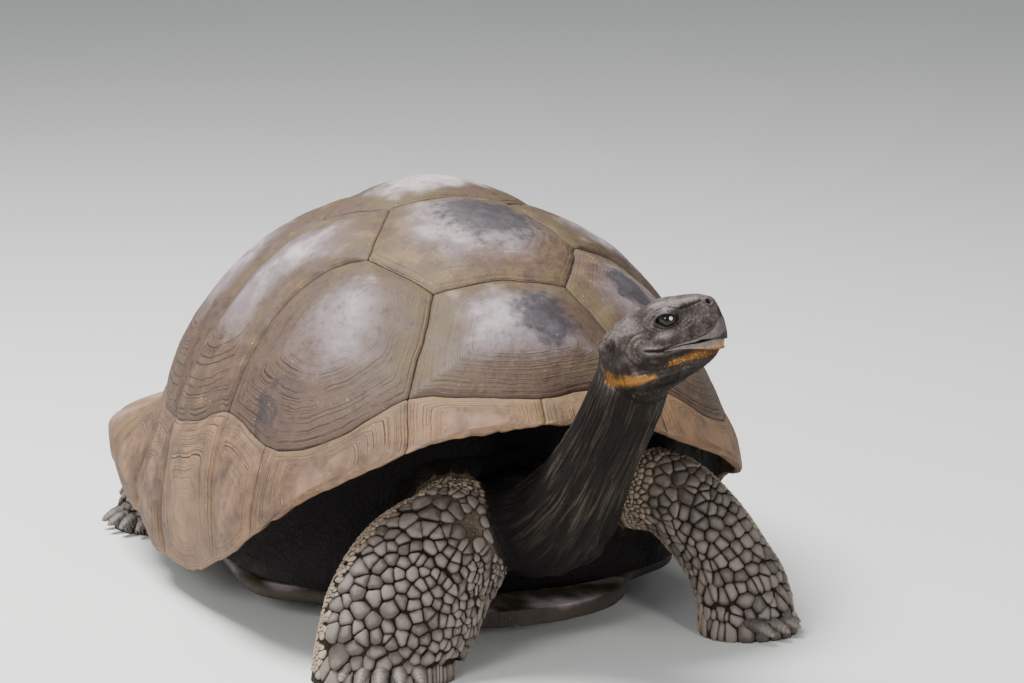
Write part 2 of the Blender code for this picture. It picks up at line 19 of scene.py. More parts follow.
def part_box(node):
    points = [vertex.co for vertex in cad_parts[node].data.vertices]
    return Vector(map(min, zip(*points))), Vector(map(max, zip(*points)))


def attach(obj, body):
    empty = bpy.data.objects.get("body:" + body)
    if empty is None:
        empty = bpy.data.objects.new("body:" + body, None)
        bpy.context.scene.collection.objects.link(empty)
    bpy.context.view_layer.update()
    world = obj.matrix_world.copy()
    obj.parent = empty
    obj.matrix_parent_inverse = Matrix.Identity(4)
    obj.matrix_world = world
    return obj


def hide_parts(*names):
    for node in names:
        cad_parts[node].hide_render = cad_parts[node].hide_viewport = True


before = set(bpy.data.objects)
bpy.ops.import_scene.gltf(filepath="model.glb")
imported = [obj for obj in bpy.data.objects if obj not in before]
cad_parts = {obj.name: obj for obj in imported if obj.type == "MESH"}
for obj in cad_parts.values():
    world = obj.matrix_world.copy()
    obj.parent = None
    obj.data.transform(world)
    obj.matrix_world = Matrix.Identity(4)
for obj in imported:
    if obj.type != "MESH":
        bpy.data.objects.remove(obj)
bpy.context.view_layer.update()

Array = np.ndarray
Thing = bpy.types.Object
Pair = tuple[float, float]
Triple = tuple[float, float, float]
Colour = Triple
Knots = Sequence[tuple[float, ...]]
MM = 0.001
TURN = 2 * math.pi
log = logging.getLogger("tortoise")


# ---- numbers and curves


def norms(vectors: Array) -> Array:
    """The lengths of vectors."""
    return np.linalg.norm(vectors, axis=-1)


def unit(vectors: Array) -> Array:
    """Vectors of length one."""
    return vectors / np.maximum(norms(vectors)[..., None], 1e-12)


def ease(low: float, high: float, x: Any) -> Array:
    """A smooth step from 0 at low to 1 at high; low may be the larger."""
    f = np.clip((np.asarray(x, float) - low) / (high - low), 0, 1)
    return f * f * (3 - 2 * f)


def hump(x: Any, middle: Any, half: Any) -> Array:
    """A bell that is 1 at middle and fades within about half on each side."""
    return np.exp(-(((np.asarray(x, float) - middle) / half) ** 2))


def spline(knots: Knots, at: Any) -> Array:
    """A smooth curve through knots, flat at both ends.

    Args:
        knots: rows of (position, value, value ...).
        at: positions to read.

    Returns:
        The values, one row for each position.
    """
    table = np.array(knots, float)
    t, values = table[:, 0], table[:, 1:]
    slopes = np.zeros_like(values)
    slopes[1:-1] = (values[2:] - values[:-2]) / (t[2:] - t[:-2])[:, None]
    at = np.clip(np.asarray(at, float), t[0], t[-1])
    i = np.clip(np.searchsorted(t, at, side="right") - 1, 0, len(t) - 2)
    span = (t[i + 1] - t[i])[..., None]
    f = (at[..., None] - t[i][..., None]) / span
    a, b, c, d = values[i], values[i + 1], slopes[i] * span, slopes[i + 1] * span
    return a + c * f + (3 * (b - a) - 2 * c - d) * f**2 + (2 * (a - b) + c + d) * f**3


def through(stations: Knots, count: int) -> Array:
    """Rows on a smooth curve through the stations, as many between any two."""
    table = np.array(stations, float)
    return spline(np.column_stack([np.arange(len(table)), table]), np.linspace(0, len(table) - 1, count))


def travelled(points: Array) -> Array:
    """How far along a run of points each one lies."""
    return np.concatenate([[0], np.cumsum(norms(np.diff(points, axis=0)))])


def rounded(loop: Array, part: int) -> Array:
    """A closed run of points smoothed by a bell as wide as one part in so many of it."""
    window = np.hanning(len(loop) // part)
    bell = np.roll(np.pad(window / window.sum(), (0, len(loop) - len(window))), -(len(window) // 2))
    return np.stack([np.real(np.fft.ifft(np.fft.fft(line) * np.fft.fft(bell))) for line in loop.T], axis=-1)


def around(knots: Knots, azimuth: Any) -> Array:
    """A knot curve read at an azimuth of either side, in degrees."""
    return spline(knots, np.abs((np.asarray(azimuth, float) + 180) % 360 - 180))[..., 0]


def direction(azimuth: Any, rise: Any) -> Array:
    """Unit vectors at an azimuth from the nose and a rise above level, in degrees."""
    a, e = np.broadcast_arrays(np.radians(azimuth), np.radians(rise))
    return np.stack([np.cos(e) * np.cos(a), np.cos(e) * np.sin(a), np.sin(e)], axis=-1)


def heading(d: Array) -> tuple[Array, Array]:
    """The azimuth and the rise of unit vectors, in degrees."""
    return np.degrees(np.arctan2(d[..., 1], d[..., 0])), np.degrees(np.arcsin(np.clip(d[..., 2], -1, 1)))


class Option(Enum):
    """One of two, valued by its sign."""

    @property
    def word(self) -> str:
        """Its name, as it stands in the names of pieces."""
        return self.name.lower()


class Side(Option):
    """A side of the animal, by the sign of y."""

    LEFT = 1
    RIGHT = -1


class Jaw(Option):
    """A jaw, by the way that its horn rises from the mouth."""

    UPPER = 1
    LOWER = -1


@dataclass(frozen=True)
class Grain:
    """Smooth random relief, the same each run."""

    # Numbers that scatter a cell's place and the seed, and that mix what comes of it
    SCATTER = (374761393, 668265263, 1274126177)
    SEED_SCATTER = 974634777
    MIX = (1103515245, 12345678, 2531011)
    LOW_BITS = 0x7FFFFFFF

    size: float
    seed: int = 0
    octaves: int = 1

    def at(self, points: Array) -> Array:
        """Values of about -1 to 1 at the points."""
        total, scale = 0.0, 1.0
        for k in range(self.octaves):
            total = total + scale * self._layer(points * (2.0**k / self.size), self.seed + 31 * k)
            scale *= 0.5
        return total

    def _layer(self, points: Array, seed: int) -> Array:
        """Relief on cells of size one, from a slope at each of their corners."""
        cell = np.floor(points).astype(np.int64)
        f = points - cell
        w = f * f * f * (f * (f * 6 - 15) + 10)
        total = np.zeros(points.shape[:-1])
        for corner in itertools.product((0, 1), repeat=3):
            c = np.array(corner)
            h = (cell + c) @ np.array(self.SCATTER) + seed * self.SEED_SCATTER
            h = (h ^ (h >> 13)) * self.MIX[0] & self.LOW_BITS
            h = (h ^ (h >> 15)) * self.MIX[1] + self.MIX[2] & self.LOW_BITS
            g = np.stack([h & 255, (h >> 8) & 255, (h >> 16) & 255], axis=-1) / 127.5 - 1
            share = np.prod(np.where(c, w, 1 - w), axis=-1)
            total += share * (g * (f - c)).sum(axis=-1)
        return 1.6 * total


def ridges(places: Array, seed: int, octaves: int = 1, steep: float = 2.4, floor: float = -0.6) -> Array:
    """Narrow ridges of height 1 that wander through the places, with the hollows between them cut off."""
    return np.clip(1 - np.abs(Grain(1.0, seed, octaves).at(places)) * steep, floor, 1)


# ---- meshes


@dataclass
class Sheet:
    """Points and faces on their way to becoming a piece, with values carried at each point."""

    points: Array
    quads: Array
    tris: Array
    values: dict[str, Array] = field(default_factory=dict)
    unwrap: Array | None = None

    @staticmethod
    def joined(sheets: Sequence["Sheet"]) -> "Sheet":
        """Several sheets as one; every sheet carries the same values."""
        starts = np.cumsum([0] + [len(s.points) for s in sheets])
        return Sheet(
            np.concatenate([s.points for s in sheets]),
            np.concatenate([s.quads + a for s, a in zip(sheets, starts)]),
            np.concatenate([s.tris + a for s, a in zip(sheets, starts)]),
            {k: np.concatenate([s.values[k] for s in sheets]) for k in sheets[0].values},
            None if sheets[0].unwrap is None else np.concatenate([s.unwrap for s in sheets]),
        )

    @staticmethod
    def lathe(rows: Array, values: dict[str, Array], first: Array | None = None,
              last: Array | None = None) -> "Sheet":
        """A closed body from rows of points that go round, with a pole at each end.

        Args:
            rows: points as (row, step round, xyz).
            values: numbers as (row, step round) carried at the points.
            first: the pole before the first row; the middle of that row if left out.
            last: the pole after the last row, likewise.

        Returns:
            The closed sheet, its poles last and its faces outwards.
        """
        first = rows[0].mean(axis=0) if first is None else first
        last = rows[-1].mean(axis=0) if last is None else last
        m, n = rows.shape[:2]
        at = np.arange(m * n).reshape(m, n)
        nxt = np.roll(at, -1, axis=1)
        quads = np.stack([at[:-1], nxt[:-1], nxt[1:], at[1:]], axis=-1).reshape(-1, 4)
        low, high = m * n, m * n + 1
        tris = np.concatenate([
            np.stack([np.full(n, low), nxt[0], at[0]], axis=-1),
            np.stack([np.full(n, high), at[-1], nxt[-1]], axis=-1),
        ])
        points = np.concatenate([rows.reshape(-1, 3), [first], [last]])
        carried = {k: np.concatenate([v.ravel(), [v[0].mean(), v[-1].mean()]]) for k, v in values.items()}
        return Sheet(points, quads, tris, carried)._faced_out()

    def _faced_out(self) -> "Sheet":
        """The same closed body with its faces turned outwards."""
        corners = np.concatenate([self.quads[:, [0, 1, 2]], self.quads[:, [0, 2, 3]], self.tris])
        a, b, c = (self.points[corners[:, k]] for k in range(3))
        if np.einsum("ij,ij->i", a, np.cross(b, c)).sum() < 0:
            return Sheet(self.points, self.quads[:, ::-1], self.tris[:, ::-1], self.values)
        return self

    def piece(self, name: str, material: bpy.types.Material | None = None) -> Thing:
        """Makes the Blender object, shaded smooth, with its values as point attributes."""
        mesh = bpy.data.meshes.new(name)
        loops = np.concatenate([self.quads.ravel(), self.tris.ravel()]).astype(np.int32)
        sizes = np.concatenate([np.full(len(self.quads), 4), np.full(len(self.tris), 3)])
        mesh.vertices.add(len(self.points))
        mesh.vertices.foreach_set("co", self.points.astype(np.float32).ravel())
        mesh.loops.add(len(loops))
        mesh.loops.foreach_set("vertex_index", loops)
        mesh.polygons.add(len(sizes))
        mesh.polygons.foreach_set("loop_start", np.concatenate([[0], np.cumsum(sizes)[:-1]]).astype(np.int32))
        mesh.update(calc_edges=True)
        for key, numbers in self.values.items():
            carry(mesh, key, numbers)
        if self.unwrap is not None:
            layer = mesh.uv_layers.new(name="OFBake")
            layer.uv.foreach_set("vector", self.unwrap[loops].astype(np.float32).ravel())
        mesh.shade_smooth()
        if material:
            mesh.materials.append(material)
        return added(name, mesh)


def added(name: str, data: bpy.types.ID) -> Thing:
    """Makes an object of a mesh, lamp or camera, and puts it in the scene."""
    thing = bpy.data.objects.new(name, data)
    bpy.context.scene.collection.objects.link(thing)
    return thing


def lying(places: Array, relief: Array, inner: Any = 0, elbow: Any = 0) -> dict[str, Array]:
    """The numbers that the hide carries, among them its lie axis by axis, and inner, its share of painted
    shade under the shell.
    """
    lie = {"lie_" + axis: places[..., k] for k, axis in enumerate("xyz")}
    return {"relief": relief, "inner": inner + 0 * relief, "elbow": elbow + 0 * relief} | lie


def carry(mesh: bpy.types.Mesh, key: str, numbers: Array) -> None:
    """Stores one number at each point of a mesh."""
    attribute = mesh.attributes.new(key, "FLOAT", "POINT")
    attribute.data.foreach_set("value", np.asarray(numbers, np.float32))


def closest(targets: Array, points: Array) -> tuple[Array, Array]:
    """For each point, which target is nearest and how far away it is."""
    tree = KDTree(len(targets))
    for k, target in enumerate(targets):
        tree.insert(target, k)
    tree.balance()
    found = [tree.find(point) for point in points]
    return np.array([k for _, k, _ in found]), np.array([away for _, _, away in found])


def settle(thing: Thing, replaced: Sequence[str] = ()) -> Thing:
    """Hands a finished piece to the frame.

    Args:
        thing: the piece, in place.
        replaced: the solids that it stands for.

    Returns:
        The same piece.
    """
    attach(thing, "root")
    if replaced:
        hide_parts(*replaced)
    log.info("%s: %d triangles", thing.name, len(thing.data.loops) - 2 * len(thing.data.polygons))
    return thing


# ---- shader wiring


def reckoned(operation: str, swapped: bool = False) -> Callable[["Signal", Any], "Signal"]:
    """A Signal's operator, made of one Math node; swapped puts the other number first."""

    def operator(self: "Signal", other: Any) -> "Signal":
        """One Math node on two numbers or signals."""
        first, second = (other, self) if swapped else (self, other)
        return self.paint.node("ShaderNodeMath", {"operation": operation}, {0: first, 1: second})

    return operator


class Signal:
    """A number that varies over a surface, as an output socket that can be reckoned with."""

    __add__ = reckoned("ADD")
    __radd__ = reckoned("ADD", swapped=True)
    __sub__ = reckoned("SUBTRACT")
    __rsub__ = reckoned("SUBTRACT", swapped=True)
    __mul__ = reckoned("MULTIPLY")
    __rmul__ = reckoned("MULTIPLY", swapped=True)

    def __init__(self, paint: "Paint", socket: bpy.types.NodeSocket) -> None:
        """Keeps the paint that the socket belongs to."""
        self.paint = paint
        self.socket = socket

    def sway(self, amount: float) -> "Signal":
        """A signal of 0 to 1 moved to lie evenly about 0, then scaled."""
        return (self - 0.5) * amount

    def above(self, low: float, high: float) -> "Signal":
        """A smooth step from 0 at low to 1 at high; low may be the larger."""
        inputs = {0: self, 1: low, 2: high} if low < high else {0: self, 1: high, 2: low, 3: 1.0, 4: 0.0}
        return self.paint.node("ShaderNodeMapRange", {"interpolation_type": "SMOOTHSTEP"}, inputs)


class Paint:
    """A material while it is being wired."""

    def __init__(self, name: str) -> None:
        """Starts a material with one Principled shader."""
        self.material = bpy.data.materials.new(name)
        self.material.use_nodes = True
        self.tree = self.material.node_tree
        self.shader = self.tree.nodes["Principled BSDF"]

    def node(self, kind: str, settings: dict[str, Any], inputs: dict[int | str, Any],
             output: int | str = 0) -> Signal:
        """Adds one node.

        Args:
            kind: the node's type.
            settings: its properties.
            inputs: numbers, colours or signals for its sockets.
            output: the socket to return.

        Returns:
            The chosen output.
        """
        made = self.tree.nodes.new(kind)
        for key, value in settings.items():
            setattr(made, key, value)
        for key, value in inputs.items():
            self.feed(made.inputs[key], value)
        return Signal(self, made.outputs[output])

    def feed(self, socket: bpy.types.NodeSocket, value: Any) -> None:
        """Links a signal to a socket, or sets the socket to a plain value."""
        if isinstance(value, Signal):
            self.tree.links.new(value.socket, socket)
        elif isinstance(value, tuple) and len(socket.default_value) == 4:
            socket.default_value = (*value, 1)
        else:
            socket.default_value = value

    def carried(self, *keys: str) -> list[Signal]:
        """Numbers stored at the points of the piece."""
        return [self.node("ShaderNodeAttribute", {"attribute_name": key}, {}, "Fac") for key in keys]

    def place(self) -> Signal:
        """Where a point is, in metres."""
        return self.node("ShaderNodeTexCoord", {}, {}, "Object")

    def folds(self) -> Signal:
        """Creases from 0 to 1 along the lie of the hide, from the places that it carries."""
        lie = self.carried("lie_x", "lie_y", "lie_z")
        place = self.node("ShaderNodeCombineXYZ", {}, dict(enumerate(lie)))
        cloud = self.node("ShaderNodeTexNoise", {},
                          {"Vector": place, "Scale": 1.0, "Detail": 3.0, "Roughness": 0.5}, "Fac")
        return self.node("ShaderNodeMath", {"operation": "ABSOLUTE"}, {0: cloud - 0.5}).above(0.0, 0.16)

    def upness(self) -> Signal:
        """How far a surface faces the sky, from -1 to 1."""
        facing = self.node("ShaderNodeNewGeometry", {}, {}, "Normal")
        return self.node("ShaderNodeSeparateXYZ", {}, {0: facing}, "Z")

    def noise(self, size: float, detail: float, stretch: Triple = (1, 1, 1)) -> Signal:
        """Clouds of the given size in metres, from 0 to 1, stretched along the axes."""
        scaled = self.node("ShaderNodeVectorMath", {"operation": "MULTIPLY"}, {0: self.place(), 1: stretch})
        return self.node("ShaderNodeTexNoise", {},
                         {"Vector": scaled, "Scale": 1 / size, "Detail": detail, "Roughness": 0.55}, "Fac")

    def lines(self, along: Signal) -> Signal:
        """Irregular bands, from 0 to 1, that follow one number; one band is about one unit wide."""
        return self.node("ShaderNodeTexNoise", {"noise_dimensions": "1D"},
                         {"W": along, "Scale": 1.0, "Detail": 2.0, "Roughness": 0.6}, "Fac")

    def cells(self, size: float) -> Signal:
        """How far a point is from the edge of its cell; the cells' size is in metres."""
        return self.node("ShaderNodeTexVoronoi", {"feature": "DISTANCE_TO_EDGE"},
                         {"Vector": self.place(), "Scale": 1 / size, "Randomness": 0.85}, "Distance")

    def blend(self, first: Any, second: Any, share: Any) -> Signal:
        """One colour over another by a share from 0 to 1."""
        made = self.tree.nodes.new("ShaderNodeMix")
        made.data_type = "RGBA"
        for key, value in (("Factor", share), (6, first), (7, second)):
            self.feed(made.inputs[key], value)
        return Signal(self, made.outputs[2])

    def layers(self, base: Any, *coats: tuple[Any, Any]) -> Signal:
        """Coats of (colour, share) laid on a base colour, one after the other."""
        for colour, share in coats:
            base = self.blend(base, colour, share)
        return base

    def bump(self, height: Signal, depth: float, under: Signal | None = None) -> Signal:
        """A bumped normal for a height from 0 to 1 that stands for depth metres."""
        inputs: dict[int | str, Any] = {"Height": height, "Distance": depth, "Strength": 1.0}
        if under is not None:
            inputs["Normal"] = under
        return self.node("ShaderNodeBump", {}, inputs, "Normal")

    def finish(self, colour: Any, rough: Any, **more: Any) -> bpy.types.Material:
        """Sets the shader's sockets and returns the material."""
        for key, value in {"Base_Color": colour, "Roughness": rough, **more}.items():
            self.feed(self.shader.inputs[key.replace("_", " ")], value)
        return self.material


# ---- finishes


@dataclass(frozen=True)
class ShellHorn:
    """Old horn: brown and ringed towards the seams, worn to a lilac grey on the crowns, with a pale painted
    sheen where it faces the sky.
    """

    name: str = "shell_horn"
    brown: Colour = (0.082, 0.05, 0.035)
    deep: Colour = (0.018, 0.013, 0.009)
    violet: Colour = (0.195, 0.155, 0.165)
    # the pale colour of a painted sheen: the sky's reflection on the upward faces
    painted_sheen: Colour = (0.54, 0.465, 0.47)
    tan: Colour = (0.25, 0.145, 0.08)
    moss: Colour = (0.1, 0.084, 0.024)
    soot: Colour = (0.018, 0.017, 0.021)
    chalk: Colour = (0.46, 0.4, 0.35)
    rings: float = 60.0

    def material(self) -> bpy.types.Material:
        """Wires the horn from the numbers that the plates carry."""
        p = Paint(self.name)
        growth, seam, smudge, rim, edging, tone = p.carried(
            "growth", "seam", "smudge", "rim", "edging", "tone")
        cloud, patch, fine = p.noise(0.13, 4), p.noise(0.032, 5), p.noise(0.006, 3)
        broken, streak = p.noise(0.045, 4), p.noise(0.014, 4)
        up = p.upness()
        lines = p.lines(growth * self.rings + cloud * 3.0 + patch * 2.2 + tone * 37)
        ringed = growth.above(0.26, 0.52) * broken.above(0.3, 0.54) * up.above(1.0, 0.62)
        plain = 1.0 - 0.85 * edging
        worn = (growth * -1.3 + up * 0.8 + cloud.sway(1.2) + tone * 0.2).above(-0.3, 0.35) * plain
        # painted sheen: the sky's reflection laid as pale colour on the faces that look up
        sky = (up * 1.9 + cloud.sway(1.3) + patch.sway(0.9) - growth * 0.8).above(1.15, 1.95) * plain
        tanned = (patch.sway(1.3) + tone * 0.5 + 0.66 * edging + broken.sway(0.9)).above(0.06, 0.9)
        stains = smudge * 1.2 + cloud.sway(1.4) + patch.sway(1.2) + streak.sway(0.8)
        grime = seam + patch.sway(1.1) + streak.sway(0.6)
        damp = up.above(0.45, 0.85) * (patch + cloud).above(0.84, 1.1)
        colour = p.layers(
            self.brown,
            (self.tan, tanned * 0.9),
            (self.tan, rim * 0.5),
            (self.violet, worn * (0.55 + 0.6 * patch)),
            (self.painted_sheen, sky * (0.4 + 0.65 * streak)),
            (self.deep, lines.above(0.52, 0.3) * ringed * (0.95 - 0.5 * worn)),
            (self.deep, streak.above(0.5, 0.72) * cloud.above(0.62, 0.42) * 0.45),
            (self.moss, growth.above(0.45, 0.95) * damp * 0.38),
            (self.soot, stains.above(0.25, 0.9) * smudge.above(0.05, 0.4) * 0.85),
            (self.deep, grime.above(0.4, 1.2) * 0.68),
            (self.chalk, fine.above(0.69, 0.75) * patch.above(0.45, 0.6) * 0.75))
        rough = 0.48 + 0.3 * patch + 0.08 * lines - 0.16 * worn
        normal = p.bump(lines * ringed, 1.2 * MM)
        normal = p.bump(fine * 0.6 + patch + streak * 0.8, 1.2 * MM, normal)
        return p.finish(colour, rough, Normal=normal, Specular_IOR_Level=0.3)


@dataclass(frozen=True)
class HideSkin:
    """Old, dry hide: painted shade in the creases and under the shell, paler on the folds with dust and
    painted highlight, yellow at the chin and throat.
    """

    dark: Colour = (0.008, 0.006, 0.005)
    mid: Colour = (0.013, 0.01, 0.008)
    dust_and_painted_light: Colour = (0.056, 0.044, 0.032)
    face: Colour = (0.046, 0.036, 0.03)
    lilac: Colour = (0.205, 0.168, 0.162)
    # the elbow's tan: its own colour, brightened further as painted light where the shell's shade falls
    bare: Colour = (0.24, 0.18, 0.125)
    between: Colour = (0.04, 0.03, 0.022)
    yellow: Colour = (0.46, 0.195, 0.032)
    painted_shade: Colour = (0.005, 0.004, 0.004)

    def material(self) -> bpy.types.Material:
        """Wires the hide from the numbers that it carries."""
        p = Paint("hide")
        relief, yellow, head, inner, leg, elbow = p.carried(
            "relief", "yellow", "head", "inner", "leg", "elbow")
        cloud, patch, fine = p.noise(0.05, 4), p.noise(0.012, 4), p.noise(0.0022, 3)
        folds, cells = p.folds(), p.cells(0.0052)
        grooves = cells.above(0.12, 0.02) * (0.2 + 0.35 * head + 0.9 * elbow)
        # high follows the raised relief: the body turns paler on it, partly dust and partly painted
        # highlight, and darker in the creases as painted shade
        high = (relief * 0.6 + patch.sway(0.3) + (folds - 0.55) * 0.45).above(-0.7, 0.6)
        body = p.blend(self.mid, self.dust_and_painted_light, (high * 0.9 + cloud * 0.9 - 0.75).above(0.0, 0.85))
        face = p.blend(self.face, self.lilac, (cloud + patch + p.upness() * 0.4).above(0.9, 1.45) * 0.8)
        ripe = (yellow + cloud.sway(0.5) + patch.sway(0.9) + fine.sway(0.6)).above(0.25, 1.05)
        colour = p.layers(
            body,
            (face, head),
            (self.between, leg * 0.9),
            # the elbow's tan, partly painted light
            (self.bare, elbow * (0.6 + 0.5 * patch)),
            (self.yellow, ripe * yellow.above(0.05, 0.2) * (0.55 + 0.35 * folds)),
            # painted shade in the creases, less of it on the elbow
            (self.dark, (1.0 - high) * (0.8 - 0.45 * elbow)),
            (self.dark, grooves * 0.45),
            # painted shade under the shell: the trunk, and the limbs and neck where they leave the body
            (self.painted_shade, inner * 0.97))
        rough = 0.6 + 0.3 * patch - 0.1 * high
        normal = p.bump(cells.above(0.0, 0.2), 0.3 * MM)
        normal = p.bump(folds * (1.0 - 0.65 * head), 1.0 * MM, normal)
        normal = p.bump((fine * 0.5 + patch) * (1.0 - 0.4 * head), 0.5 * MM, normal)
        return p.finish(colour, rough, Normal=normal, Specular_IOR_Level=0.1)


@dataclass(frozen=True)
class LegScale:
    """A horny scale: large ones pale grey in the middle, small ones a dusty brown brightened as painted
    light, all dark at the edge, partly as painted shade.
    """

    pale: Colour = (0.15, 0.124, 0.102)
    brown: Colour = (0.05, 0.037, 0.029)
    # crowns of the small scales: a dusty tan, brightened as painted light for the elbow under the shell
    dust_and_painted_light: Colour = (0.29, 0.218, 0.155)
    dark: Colour = (0.012, 0.01, 0.009)

    def material(self) -> bpy.types.Material:
        """Wires the scale from the edge, tone and bulk numbers that it carries."""
        p = Paint("leg_scale")
        edge, tone, bulk = p.carried("edge", "tone", "bulk")
        patch, fine = p.noise(0.012, 4), p.noise(0.0025, 3)
        crown = p.blend(self.dust_and_painted_light, self.pale, bulk.above(0.25, 0.75))
        bare = 1.55 - bulk * 0.45 - edge + tone * 0.7 + patch.sway(1.0)
        # towards each scale's edge the crown gives way to brown and dark: partly its own dark border, partly
        # painted shade
        colour = p.layers(self.brown, (crown, bare.above(0.1, 1.0)),
                          (self.dark, edge.above(0.9, 1.0) * (0.25 + 0.4 * bulk)))
        lines = p.lines(edge * 5.0 + tone * 31)
        normal = p.bump(lines, 0.3 * MM)
        normal = p.bump(patch + fine * 0.5, 0.5 * MM, normal)
        return p.finish(colour, 0.46 + 0.28 * patch, Normal=normal)


@dataclass(frozen=True)
class BeakHorn:
    """The horn of a jaw: grey above with a dark cutting edge, yellow under a pale lip below."""

    jaw: Jaw
    grey: Colour = (0.078, 0.062, 0.058)
    edge: Colour = (0.012, 0.009, 0.008)
    lip: Colour = (0.125, 0.105, 0.102)
    yellow: Colour = (0.38, 0.165, 0.038)

    def material(self) -> bpy.types.Material:
        """Wires the horn from the height and front numbers that it carries."""
        p = Paint(self.jaw.word + "_horn")
        height, front = p.carried("height", "front")
        streaks, patch = p.noise(0.0035, 4, (1, 1, 0.3)), p.noise(0.009, 4)
        if self.jaw is Jaw.UPPER:
            cutting = front * 0.22 + 0.16 - height + patch.sway(0.2)
            colour = p.layers(self.grey, (self.lip, (streaks + patch).above(0.9, 1.3) * 0.6),
                              (self.edge, cutting.above(0.0, 0.16)))
        else:
            ripe = height * 0.9 + front * 0.5 + patch.sway(1.1) + streaks.sway(0.9)
            colour = p.layers(self.lip, (self.yellow, ripe.above(0.45, 1.05) * 0.9),
                              (self.grey, streaks.above(0.44, 0.6) * 0.75),
                              (self.grey, height.above(0.8, 1.0) * 0.8),
                              (self.edge, (0.08 - height).above(0.0, 0.08) * 0.6))
        normal = p.bump(streaks + patch * 0.8, 1.0 * MM)
        return p.finish(colour, 0.48 + 0.25 * patch, Normal=normal)


@dataclass(frozen=True)
class EyeGlass:
    """A wet, nearly black eye, with a painted highlight in its front corner."""

    white: Colour = (0.024, 0.019, 0.016)
    iris: Colour = (0.012, 0.009, 0.008)
    pupil: Colour = (0.002, 0.002, 0.002)
    # the painted highlight: a pale reflection painted onto the front of the eye
    corner: Colour = (0.62, 0.68, 0.72)

    def material(self) -> bpy.types.Material:
        """Wires the eye from the angle off its gaze and the painted highlight that it carries."""
        p = Paint("eye_glass")
        off, pale = p.carried("off", "pale")
        colour = p.layers(self.iris, (self.pupil, off.above(0.36, 0.3)), (self.white, off.above(0.66, 0.78)),
                          (self.corner, pale.above(0.35, 0.75) * 0.9))
        return p.finish(colour, 0.08, IOR=1.36)


@dataclass(frozen=True)
class ClawHorn:
    """Worn dark claw, paler and chipped at the tip."""

    root: Colour = (0.045, 0.036, 0.032)
    tip: Colour = (0.17, 0.14, 0.12)

    def material(self) -> bpy.types.Material:
        """Wires the claw from the distance along it."""
        p = Paint("claw_horn")
        (along,) = p.carried("along")
        streaks, lines = p.noise(0.006, 4), p.lines(along * 16.0)
        colour = p.layers(self.root, (self.tip, (along + streaks.sway(0.9)).above(0.25, 1.0)),
                          (self.root, lines.above(0.55, 0.4) * 0.5))
        return p.finish(colour, 0.42 + 0.25 * streaks, Normal=p.bump(lines + streaks, 0.6 * MM))


@dataclass(frozen=True)
class FloorPaint:
    """A plain pale studio floor."""

    shade: Colour = (0.74, 0.74, 0.72)

    def material(self) -> bpy.types.Material:
        """Wires the floor with the faintest mottling."""
        p = Paint("studio_floor")
        cloud = p.noise(1.4, 2)
        darker: Colour = tuple(0.96 * c for c in self.shade)
        return p.finish(p.blend(self.shade, darker, cloud), 0.85)


# ---- shell


